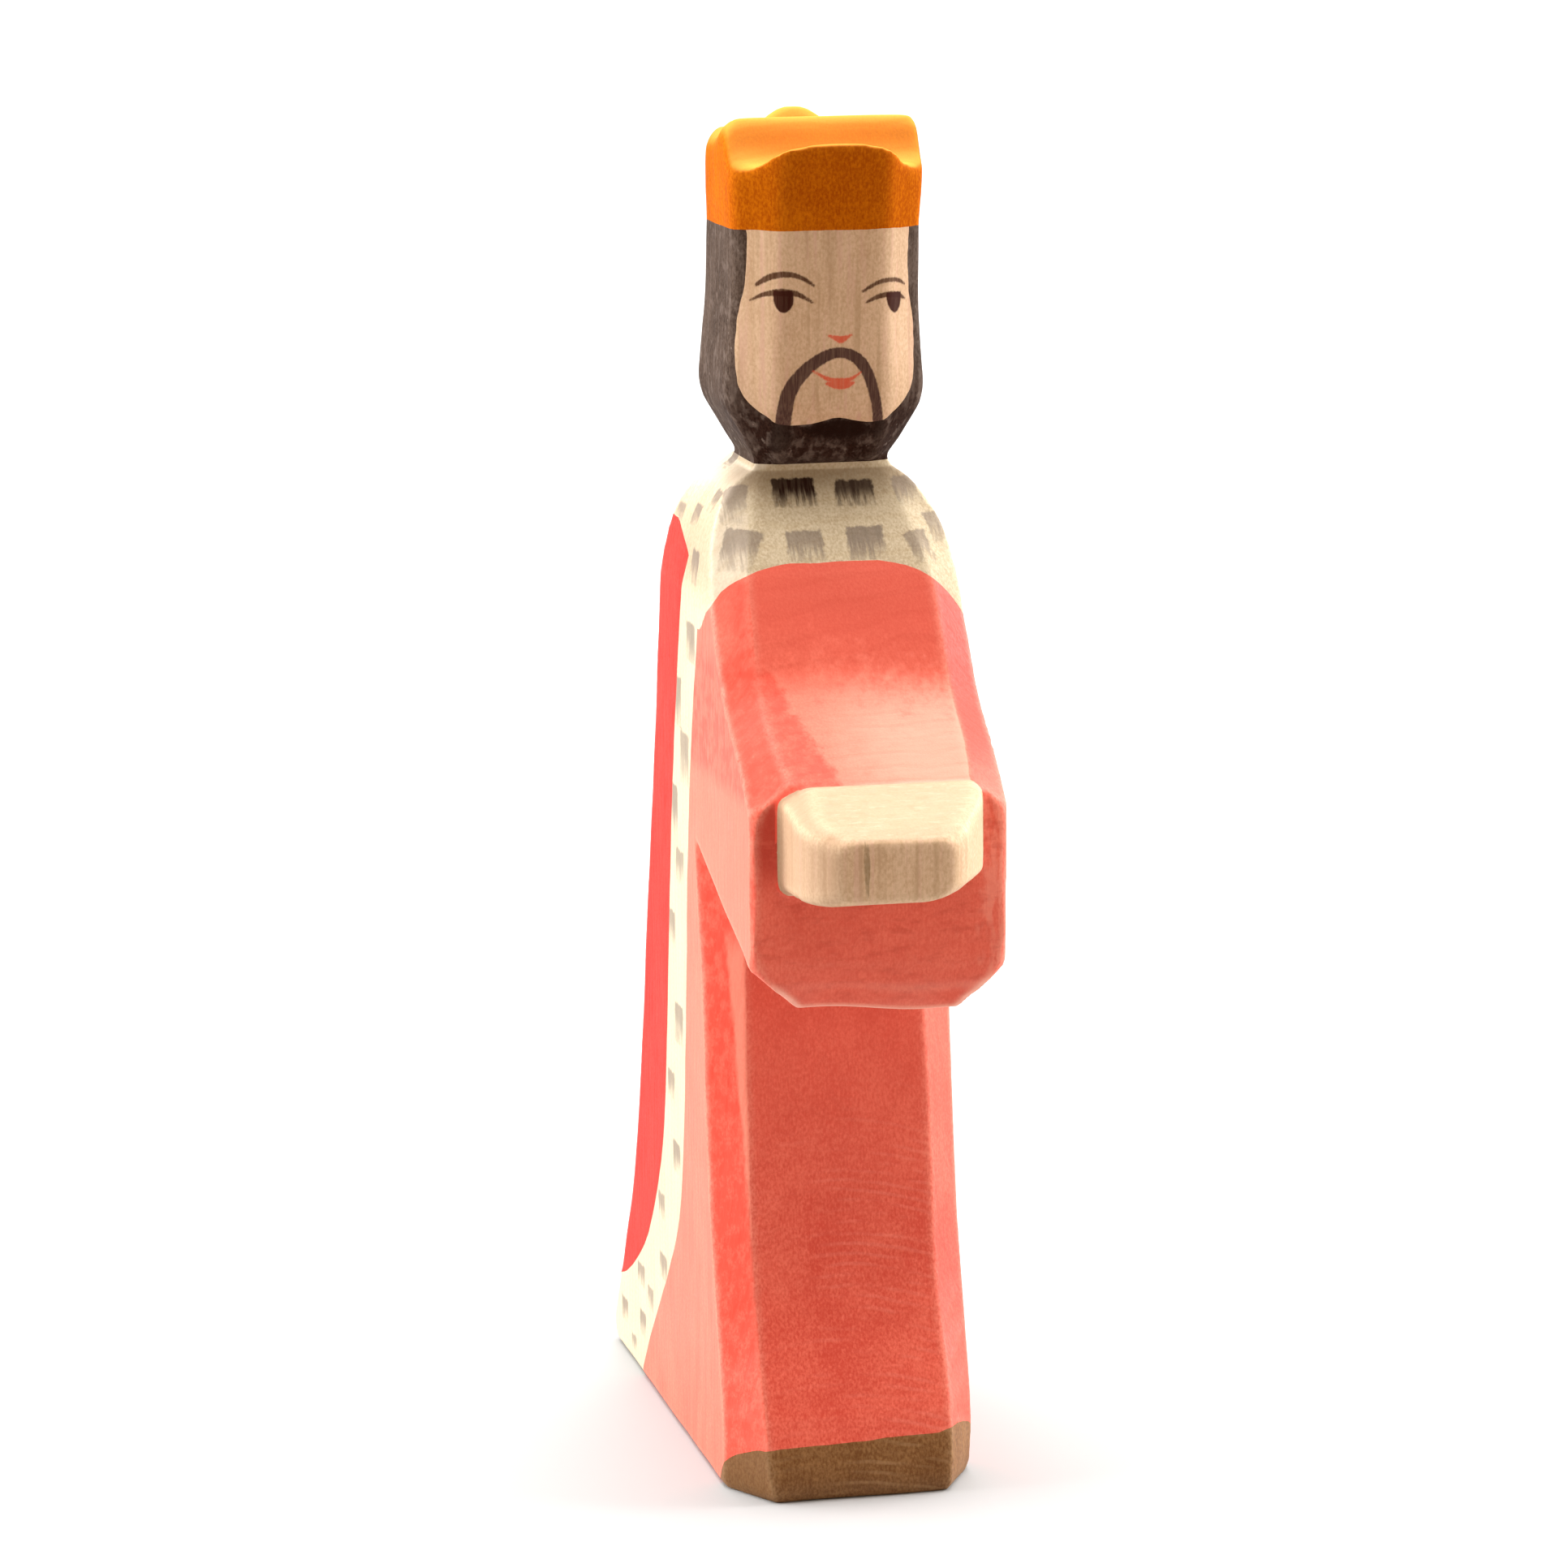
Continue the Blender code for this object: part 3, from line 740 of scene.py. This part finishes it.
    def saw_lines(self):
        """Fine arcs across the sawn front, broken and faint."""
        out = self.calc("ADD", self.axis("X"), 2.0)
        bow = self.calc("MULTIPLY", self.calc("MULTIPLY", out, out), ARC_BOW)
        height = self.calc("ADD", self.axis("Z"), bow)
        height = self.calc("MULTIPLY_ADD", self.noise((0.10, 0.10, 0.16), 2.0), ARC_BEND, height)
        turn = self.calc("MULTIPLY", height, 2.0 * pi / ARC_PITCH)
        lines = self.span(self.calc("SINE", turn), 0.0, 1.0)
        broken = self.span(self.noise((0.13, 0.13, 0.5), 2.0), 0.42, 0.66)
        front = self.span(self.turned("Y"), -0.80, -0.92)
        low = self.span(self.axis("Z"), 52.0, 34.0)
        leftward = self.span(self.axis("X"), -7.0, 1.0, 0.35, 1.0)
        return self.product(lines, broken, front, low, leftward)

    def grain(self, colour, tint, strength):
        """Darkens the colour along rings and fibres."""
        lines = self.calc("MULTIPLY_ADD", self.rings, 0.5, self.span(self.fibre, 0.45, 0.72, 0.0, 0.6))
        return self.mix(self.calc("MULTIPLY", lines, strength, clamp=True), colour, tint, "MULTIPLY")

    def wax(self, colour, relief=0.4, roughness=0.50, gloss=0.18, ior=1.45):
        """Joins the colour to a satin wax coat with the grain standing in it."""
        height = self.calc("MULTIPLY_ADD", self.fibre, 0.7, self.calc("MULTIPLY", self.speckle, 0.5))
        height = self.calc("MULTIPLY_ADD", self.rings, -0.3, height)
        bump = self.node("Bump", {"Height": height, "Strength": relief, "Distance": RELIEF * MM})
        rough = self.span(self.fibre, 0.3, 0.7, roughness - 0.05, roughness + 0.10)
        self.tree.links.new(colour, self.shader.inputs["Base Color"])
        self.tree.links.new(rough, self.shader.inputs["Roughness"])
        self.tree.links.new(bump.outputs[0], self.shader.inputs["Normal"])
        self.shader.inputs["IOR"].default_value = ior
        self.shader.inputs["Specular IOR Level"].default_value = gloss
        return self.material


def skin_finish(name, painted, right_shade=0.0):
    """Bare pale wood under thin strokes of colour: (field, ink, cover on pores, cover on fibres)."""
    wood = Finish(name)
    colour = wood.stain((0.50, 0.325, 0.195), (0.65, 0.450, 0.300), 0.36, 0.64)
    flush = wood.span(wood.streak, 0.50, 0.70, 0.0, 0.55)
    colour = wood.mix(flush, colour, (0.58, 0.345, 0.26))
    shade = wood.span(wood.noise((0.9, 0.9, 0.03), 2.0), 0.50, 0.70, 0.0, 0.50)
    colour = wood.mix(shade, colour, (0.38, 0.24, 0.13))
    colour = wood.grain(colour, (0.82, 0.74, 0.64), 0.4)
    upper = wood.span(wood.turned("Z"), 0.5, 0.8, 0.0, 0.75)
    colour = wood.mix(upper, colour, (0.36, 0.245, 0.160))
    pale = wood.span(wood.noise((0.5, 1.6, 0.2), 3.0), 0.52, 0.70, 0.0, 0.55)
    colour = wood.mix(wood.product(upper, pale), colour, (0.48, 0.37, 0.265))
    shaded = wood.span(wood.turned("X"), -0.10, -0.60, 0.0, right_shade)
    colour = wood.mix(shaded, colour, (0.34, 0.215, 0.135))
    colour = wood.rub(colour, (0.78, 0.58, 0.39), 0.55)
    edge_noise = wood.calc("MULTIPLY_ADD", wood.noise((4.0, 4.0, 2.0), 2.0), 0.24, -0.12)
    for field, ink, thick, thinnest in painted:
        edge = wood.calc("ADD", wood.field(field), edge_noise)
        cover = wood.span(edge, 0.11, -0.11)
        thin = wood.span(wood.fibre, 0.35, 0.70, thick, thinnest)
        colour = wood.mix(wood.product(cover, thin), colour, ink)
    return wood.wax(colour, relief=0.35, roughness=0.48, gloss=0.12, ior=1.25)


def hair_finish():
    """Grey-brown stain with lighter streaks, darker on the beard and where it was laid twice."""
    wood = Finish("hair_stain")
    low = wood.span(wood.axis("Z"), 133.0, 124.0)
    front = wood.span(wood.axis("Y"), -12.0, -20.0)
    beard = wood.product(low, wood.calc("MULTIPLY_ADD", front, 0.6, 0.4))
    hair = wood.stain((0.036, 0.021, 0.014), (0.104, 0.070, 0.053), 0.36, 0.66)
    dark = wood.stain((0.015, 0.005, 0.003), (0.040, 0.019, 0.013), 0.36, 0.68)
    colour = wood.mix(beard, hair, dark)
    locks = wood.span(wood.noise((0.9, 0.9, 0.10), 3.0), 0.48, 0.72, 0.0, 0.5)
    colour = wood.mix(locks, colour, (0.140, 0.102, 0.083))
    mottle = wood.span(wood.noise((0.8, 0.8, 0.6), 3.0), 0.52, 0.68, 0.0, 0.55)
    colour = wood.mix(mottle, colour, (0.15, 0.11, 0.09))
    flecks = wood.span(wood.noise((1.2, 1.2, 0.9), 2.0), 0.66, 0.76, 0.0, 0.35)
    colour = wood.mix(flecks, colour, (0.32, 0.25, 0.21))
    overlap = wood.rough_edge(wood.field("overlap"), 0.8, (3.4, 3.4, 2.4))
    overlap = wood.product(wood.span(overlap, 0.45, -0.35, 0.0, 0.92), front)
    colour = wood.mix(overlap, colour, (0.014, 0.005, 0.003))
    colour = wood.grain(colour, (0.70, 0.66, 0.64), 0.5)
    colour = wood.rub(colour, (0.20, 0.15, 0.12), 0.40)
    return wood.wax(colour, relief=0.5, roughness=0.52, gloss=0.10, ior=1.15)


def ermine_finish():
    """Cream wash with grey brush dabs that run thin down the grain, and a painted shadow under the beard.
    """
    wood = Finish("ermine_wash")
    colour = wood.stain((0.42, 0.330, 0.215), (0.58, 0.490, 0.350), 0.36, 0.64)
    sides = wood.span(wood.calc("ABSOLUTE", wood.turned("X")), 0.80, 0.95, 0.0, 0.35)
    below_collar = wood.span(wood.axis("Z"), 108.0, 102.0)
    colour = wood.mix(wood.product(sides, below_collar), colour, (0.66, 0.58, 0.44))
    shoulder = wood.product(sides, wood.calc("SUBTRACT", 1.0, below_collar), 1.3)
    colour = wood.mix(shoulder, colour, (0.36, 0.265, 0.175))
    aside = wood.turned("X")
    right_cut = wood.product(wood.span(aside, -0.20, -0.40, 0.0, 0.45), wood.span(aside, -0.85, -0.75))
    colour = wood.mix(right_cut, colour, (0.66, 0.57, 0.47))
    colour = wood.grain(colour, (0.84, 0.78, 0.68), 0.45)
    colour = wood.rub(colour, (0.80, 0.70, 0.52), 0.5)
    # Painted shadow that the beard throws on the collar's front, leaving a pale rim at the neck.
    beard_shadow = wood.product(
        wood.span(wood.axis("Z"), 114.5, 118.4), wood.span(wood.axis("Z"), 118.9, 118.6),
        wood.span(wood.axis("Y"), -8.0, -16.0))
    colour = wood.mix(wood.product(beard_shadow, 0.55), colour, (0.22, 0.145, 0.085))
    ragged = wood.rough_edge(wood.field("dab_edge"), 0.9, (1.5, 1.5, 0.6))
    cover = wood.span(ragged, 0.16, -0.22)
    tone = wood.field("dab_tone")
    fall = wood.field("dab_fall")
    bare = wood.span(wood.noise((2.6, 0.5, 0.16), 2.0), 0.62, 0.38)
    bare_streaks = wood.product(wood.span(fall, -0.5, 0.8, 0.08, 0.85), bare)
    thin = wood.span(fall, -0.2, 1.3, 1.0, 0.35)
    strength = wood.product(cover, wood.calc("SUBTRACT", 1.0, bare_streaks), thin)
    veil = wood.product(wood.calc("MULTIPLY_ADD", tone, 0.50, 0.50), strength)
    ink = wood.mix(wood.span(tone, 0.6, 0.9), (0.155, 0.118, 0.098), (0.022, 0.007, 0.004))
    colour = wood.mix(veil, colour, ink)
    return wood.wax(colour, relief=0.4, roughness=0.52, gloss=0.12, ior=1.25)


def cape_finish():
    """Strong red stain, pooled in places."""
    wood = Finish("cape_stain")
    deep = (0.55, 0.020, 0.014)
    colour = wood.stain(deep, (0.68, 0.046, 0.033))
    pooled = wood.span(wood.noise((0.45, 0.45, 0.22), 3.0), 0.50, 0.72, 0.0, 0.45)
    colour = wood.mix(pooled, colour, deep)
    colour = wood.grain(colour, (0.86, 0.72, 0.68), 0.45)
    colour = wood.rub(colour, (0.78, 0.16, 0.12), 0.5)
    return wood.wax(colour, relief=0.45, roughness=0.50, gloss=0.12, ior=1.25)


def thin_red(wood):
    """The robe's first coat, paler on the flanks and towards the feet, with painted light up under the
    arms, where the sleeves shade it.
    """
    deep = (0.60, 0.066, 0.040)
    colour = wood.stain(deep, (0.78, 0.150, 0.095))
    pooled = wood.span(wood.noise((0.9, 0.9, 0.5), 4.0), 0.50, 0.72, 0.0, 0.22)
    colour = wood.mix(pooled, colour, deep)
    flank = wood.span(wood.calc("ABSOLUTE", wood.turned("X")), 0.88, 0.97)
    colour = wood.mix(wood.product(flank, 0.28), colour, (0.84, 0.27, 0.18))
    runs = wood.span(wood.noise((0.35, 0.35, 0.06), 3.0), 0.46, 0.66, 0.0, 0.40)
    runs = wood.product(runs, flank, wood.span(wood.axis("Z"), 62.0, 24.0))
    colour = wood.mix(runs, colour, (0.70, 0.105, 0.065))
    # Painted light, stronger towards the arms, lifting the shade that the sleeves throw on the robe.
    under_arms = wood.span(wood.axis("Z"), 26.0, 58.0, 0.0, 0.35)
    return wood.mix(under_arms, colour, (0.82, 0.165, 0.105))


def chest_and_arm_top(wood, colour):
    """A darker coat that ends, ragged, on the arms' top, and spills over its edge on the right. The arms'
    top is paler: a thinner stain with a painted sheen, strongest towards the figure's left.
    """
    height = wood.rough_edge(wood.axis("Z"), 9.0, (0.45, 0.45, 0.45))
    height = wood.rough_edge(height, 7.0, (1.5, 1.5, 1.0))
    height = wood.calc("MULTIPLY_ADD", wood.axis("X"), 0.14, height)
    brushed = wood.span(wood.noise((0.25, 2.2, 2.2), 3.0), 0.36, 0.64, 0.90, 1.0)
    leftward = wood.rough_edge(wood.axis("X"), 7.0, (0.5, 0.5, 0.5))
    leftward = wood.span(leftward, -8.0, 5.0, 0.25, 0.88)
    across = wood.calc("MULTIPLY_ADD", wood.axis("Z"), 0.5, wood.axis("X"))
    across = wood.rough_edge(across, 3.2, (0.9, 0.9, 0.9))
    upward = wood.rough_edge(wood.turned("Z"), 0.35, (0.6, 0.6, 0.6))
    # The arms' top painted paler: a thinner stain and a painted sheen.
    pale_arm_top_and_sheen = wood.product(
        wood.span(upward, 0.30, 0.62), wood.span(height, 102.0, 93.6), brushed,
        wood.span(wood.turned("X"), 0.34, 0.20), leftward, wood.span(across, 38.2, 39.6))
    colour = wood.mix(pale_arm_top_and_sheen, colour, (0.84, 0.275, 0.195))
    chest = wood.span(height, 91.0, 104.0, 0.0, 0.60)
    colour = wood.mix(chest, colour, (0.56, 0.082, 0.052))
    dabbed = wood.span(wood.noise((0.7, 0.7, 0.6), 4.0), 0.38, 0.62, 0.35, 0.85)
    spill = wood.product(
        wood.span(across, 39.6, 38.2), wood.span(wood.axis("Z"), 83.0, 86.0),
        wood.span(wood.axis("Z"), 101.0, 96.0), dabbed)
    return wood.mix(spill, colour, (0.66, 0.066, 0.040))


def cut_arrises(wood, colour):
    """The cuts along the arrises: a second coat on the right, with slivers painted paler as narrow lit
    facets, and shade on the left.
    """
    facing = wood.rough_edge(wood.turned("X"), 0.22, (0.7, 0.7, 0.4))
    right_cut = wood.product(wood.span(facing, -0.22, -0.36), wood.span(facing, -0.98, -0.90))
    # Slivers along the front arris, left out of the second coat and painted paler as the light on a narrow
    # facet.
    inner = wood.calc("MULTIPLY_ADD", wood.axis("Z"), 0.042, wood.axis("X"))
    inner = wood.rough_edge(inner, 0.7, (0.8, 0.8, 0.3))
    below_arms = wood.span(wood.axis("Z"), 66.0, 62.0)
    lit_sliver = wood.product(wood.span(inner, -9.95, -9.45), below_arms)
    outer = wood.product(
        wood.span(wood.axis("X"), -12.2, -13.6), wood.span(wood.axis("Z"), 97.0, 101.0))
    patchy = wood.span(wood.noise((0.8, 0.8, 0.6), 4.0), 0.40, 0.60, 0.30, 0.95)
    second_coat = wood.product(
        right_cut, wood.calc("SUBTRACT", 1.0, lit_sliver), wood.calc("SUBTRACT", 1.0, outer), patchy)
    colour = wood.mix(second_coat, colour, (0.68, 0.066, 0.038))
    colour = wood.mix(wood.product(right_cut, lit_sliver, 0.6), colour, (0.84, 0.25, 0.17))
    left_cut = wood.product(
        wood.span(wood.turned("X"), 0.25, 0.45), wood.span(wood.turned("X"), 0.97, 0.90))
    at_chest = wood.span(wood.axis("Z"), 84.0, 90.0, 0.0, 0.80)
    colour = wood.mix(wood.product(left_cut, at_chest), colour, (0.52, 0.048, 0.030))
    at_foot = wood.span(wood.axis("Z"), 42.0, 24.0, 0.0, 0.45)
    return wood.mix(wood.product(left_cut, at_foot), colour, (0.56, 0.060, 0.036))


def cuff_marks(wood, colour):
    """The cuffs' flat front: painted shade at the top on the right, a worn strip on the left, scuffs and
    smears.
    """
    cuffs = wood.product(
        wood.span(wood.turned("Y"), -0.90, -0.97), wood.span(wood.axis("Y"), -44.0, -44.8))
    daub = wood.rough_edge(wood.axis("X"), 5.0, (0.6, 0.6, 0.5))
    upper = wood.span(wood.axis("Z"), 73.0, 79.0, 0.0, 0.80)
    # Painted shade at the top of the cuffs, on the figure's right.
    cuff_shade = wood.product(cuffs, wood.span(daub, -8.0, -12.0), upper)
    colour = wood.mix(cuff_shade, colour, (0.40, 0.034, 0.020))
    streaks = wood.span(wood.noise((1.2, 1.2, 0.25), 3.0), 0.35, 0.60, 0.0, 0.55)
    strip = wood.product(cuffs, wood.span(daub, 11.2, 13.2), streaks)
    colour = wood.mix(strip, colour, (0.84, 0.28, 0.20))
    scuffs = wood.span(wood.noise((0.35, 0.35, 0.9), 4.0), 0.50, 0.70, 0.0, 0.30)
    colour = wood.mix(wood.product(cuffs, scuffs), colour, (0.70, 0.13, 0.085))
    smears = wood.span(wood.noise((0.4, 0.4, 0.9), 4.0), 0.50, 0.70, 0.0, 0.35)
    colour = wood.mix(wood.product(cuffs, smears), colour, (0.46, 0.045, 0.026))
    under_edge = wood.product(
        wood.calc("MULTIPLY", wood.worn, 2.2, clamp=True),
        wood.span(wood.axis("Z"), 64.5, 62.5), wood.span(wood.axis("Y"), -41.5, -43.0))
    return wood.mix(under_edge, colour, (0.90, 0.42, 0.33))


def robe_finish():
    """Thin red stain, laid twice on the chest and on the cuts along the figure's right."""
    wood = Finish("robe_stain")
    colour = thin_red(wood)
    colour = chest_and_arm_top(wood, colour)
    colour = cut_arrises(wood, colour)
    colour = cuff_marks(wood, colour)
    colour = wood.grain(colour, (0.86, 0.70, 0.66), 0.32)
    colour = wood.mix(wood.product(wood.saw_lines(), 0.15), colour, (0.86, 0.30, 0.22))
    colour = wood.rub(colour, (0.84, 0.36, 0.26), 0.50)
    return wood.wax(colour, relief=0.45)


def crown_finish():
    """Orange stain, paler on the upper faces, most of all towards the front: a thinner stain there and a
    painted highlight.
    """
    wood = Finish("crown_stain")
    colour = wood.stain((0.36, 0.068, 0.0015), (0.56, 0.145, 0.003))
    # Paler where the faces turn up and forward: a thinner stain and a painted highlight.
    forward = wood.span(wood.turned("Y"), 0.35, -0.10, 0.15, 0.85)
    upper = wood.product(wood.span(wood.turned("Z"), 0.10, 0.75), forward)
    colour = wood.mix(upper, colour, (0.78, 0.300, 0.055))
    colour = wood.grain(colour, (0.82, 0.70, 0.55), 0.45)
    colour = wood.rub(colour, (0.80, 0.27, 0.02), 0.30)
    return wood.wax(colour, relief=0.4, roughness=0.45, gloss=0.06, ior=1.10)


def shoe_finish():
    """Brown stain with the saw's lines through it."""
    wood = Finish("shoe_stain")
    colour = wood.stain((0.140, 0.052, 0.012), (0.270, 0.130, 0.046))
    colour = wood.grain(colour, (0.80, 0.72, 0.62), 0.5)
    right_cut = wood.span(wood.turned("X"), -0.20, -0.50, 0.0, 0.55)
    colour = wood.mix(right_cut, colour, (0.125, 0.055, 0.016))
    colour = wood.mix(wood.product(wood.saw_lines(), 0.35), colour, (0.36, 0.21, 0.10))
    colour = wood.rub(colour, (0.40, 0.25, 0.13), 0.4)
    return wood.wax(colour, relief=0.4, roughness=0.48)


def finishes():
    """Each piece's material, by the piece's name."""
    strokes = [
        ("moustache", (0.066, 0.030, 0.024), 0.99, 0.88),
        ("lips", (0.60, 0.085, 0.040), 0.92, 0.78),
        ("ink", (0.075, 0.030, 0.014), 0.98, 0.84),
        ("pupils", (0.040, 0.009, 0.005), 1.0, 0.95),
    ]
    robe = robe_finish()
    ermine = ermine_finish()
    return {
        "crown": crown_finish(),
        "face": skin_finish("face_wash", strokes),
        "hands": skin_finish("hand_wash", [("crease", (0.21, 0.14, 0.07), 0.80, 0.55)], 0.60),
        "hair_and_beard": hair_finish(),
        "ermine_collar": ermine,
        "ermine_trim": ermine,
        "cape": cape_finish(),
        "robe": robe,
        "sleeves": robe,
        "shoes": shoe_finish(),
    }


def paint(pieces):
    """Lays the hand-painted details on the pieces, then their finishes."""
    finer(pieces["face"])
    paint_strokes(pieces["face"], "ink", BROWS + LIDS)
    paint_pupils(pieces["face"])
    paint_strokes(pieces["face"], "lips", LIPS + [NOSE])
    paint_strokes(pieces["face"], "moustache", [MOUSTACHE])
    paint_strokes(pieces["hair_and_beard"], "overlap", BEARD_OVERLAPS)
    paint_strokes(pieces["hands"], "crease", [CREASE])
    paint_dabs(pieces["ermine_collar"], COLLAR_DABS)
    flanks = [(side * HALF_BOARD, *dab) for side in (-1.0, 1.0) for dab in TRIM_DABS]
    train = [(x, TRAIN_REAR, z, *TRAIN_DAB_HALF, dark) for x, z, dark in TRAIN_DABS]
    paint_dabs(pieces["ermine_trim"], flanks + train)
    looks = finishes()
    for name, piece in pieces.items():
        piece.data.materials.clear()
        piece.data.materials.append(looks[name])
        piece.data.polygons.foreach_set("material_index", [0] * len(piece.data.polygons))


# ---------------------------------------------------------------- the stage

def paper(name, colour, roughness):
    material = bpy.data.materials.new(name)
    material.use_nodes = True
    shader = material.node_tree.nodes["Principled BSDF"]
    shader.inputs["Base Color"].default_value = (*colour, 1.0)
    shader.inputs["Roughness"].default_value = roughness
    return material


def floor():
    """A sheet that ends a little way in front of the figure, so that it throws little light up."""
    sheet = bmesh.new()
    bmesh.ops.create_grid(sheet, x_segments=8, y_segments=8, size=FLOOR_HALF)
    bmesh.ops.translate(sheet, verts=sheet.verts, vec=(0.0, FLOOR_HALF - FLOOR_AHEAD, 0.0))
    mesh = mesh_from(sheet, "floor")
    mesh.materials.append(paper("floor_paper", FLOOR_GREY, 0.9))
    show("floor", mesh)


def soft_sun(name, azimuth, elevation, power, width):
    """A wide, even light from far off. Azimuth 0 is in front of the figure, 90 to its right."""
    data = bpy.data.lights.new(name, "SUN")
    data.energy = power * pi
    data.angle = radians(width)
    lamp = show(name, data)
    turned, raised = radians(azimuth), radians(elevation)
    towards = Vector((-sin(turned) * cos(raised), -cos(turned) * cos(raised), sin(raised)))
    lamp.rotation_euler = towards.to_track_quat("Z", "Y").to_euler()


def light_tent():
    """A white tent, bright at the sides and behind, with the figure's front in its own shade."""
    soft_sun("right_panel", azimuth=112.0, elevation=20.0, power=1.45, width=45.0)
    soft_sun("left_panel", azimuth=-100.0, elevation=20.0, power=1.75, width=45.0)
    soft_sun("top_panel", azimuth=180.0, elevation=76.0, power=2.0, width=60.0)
    world = bpy.data.worlds.new("tent")
    bpy.context.scene.world = world
    world.use_nodes = True
    tree = world.node_tree
    direction = tree.nodes.new("ShaderNodeTexCoord").outputs["Generated"]
    split_axes = tree.nodes.new("ShaderNodeSeparateXYZ")
    depth = tree.nodes.new("ShaderNodeMapRange")
    shade = tree.nodes.new("ShaderNodeMix")
    shade.data_type = "RGBA"
    shade.inputs[6].default_value = (*TENT_FRONT, 1.0)
    shade.inputs[7].default_value = (*TENT_AROUND, 1.0)
    tree.links.new(direction, split_axes.inputs[0])
    tree.links.new(split_axes.outputs["Y"], depth.inputs["Value"])
    depth.inputs["From Min"].default_value = -0.2
    depth.inputs["From Max"].default_value = 0.5
    tree.links.new(depth.outputs[0], shade.inputs[0])
    surround = tree.nodes["Background"]
    tree.links.new(shade.outputs[2], surround.inputs["Color"])
    backdrop = tree.nodes.new("ShaderNodeBackground")
    backdrop.inputs["Color"].default_value = (1.0, 1.0, 1.0, 1.0)
    rays = tree.nodes.new("ShaderNodeLightPath")
    choice = tree.nodes.new("ShaderNodeMixShader")
    tree.links.new(rays.outputs["Is Camera Ray"], choice.inputs[0])
    tree.links.new(surround.outputs[0], choice.inputs[1])
    tree.links.new(backdrop.outputs[0], choice.inputs[2])
    tree.links.new(choice.outputs[0], tree.nodes["World Output"].inputs["Surface"])


def camera():
    data = bpy.data.cameras.new("camera")
    data.lens = LENS
    data.sensor_width = SENSOR
    data.clip_start = 0.01
    data.clip_end = 50.0
    eye = show("camera", data)
    eye.matrix_world = (
        Matrix.Translation(Vector(EYE) * MM)
        @ Matrix.Rotation(radians(-YAW), 4, "Z")
        @ Matrix.Rotation(radians(90.0 - PITCH), 4, "X")
        @ Matrix.Rotation(radians(ROLL), 4, "Z")
    )
    bpy.context.scene.camera = eye


def main():
    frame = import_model()
    cad_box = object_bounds()
    camera()
    floor()
    light_tent()
    block = joined_block(frame["nodes"])
    hand_carved(block.data)
    kept_in_box(block.data, *cad_box)
    skin = block.data.copy()
    pieces = cut_into_pieces(block)
    spread_wear(skin, wear(skin), pieces.values())
    paint(pieces)
    for name, piece in pieces.items():
        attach(piece, "root")
        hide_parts(name)
        piece.data.set_sharp_from_angle(angle=radians(ARRIS_ANGLE))
    bpy.context.scene.view_settings.view_transform = "Standard"


main()
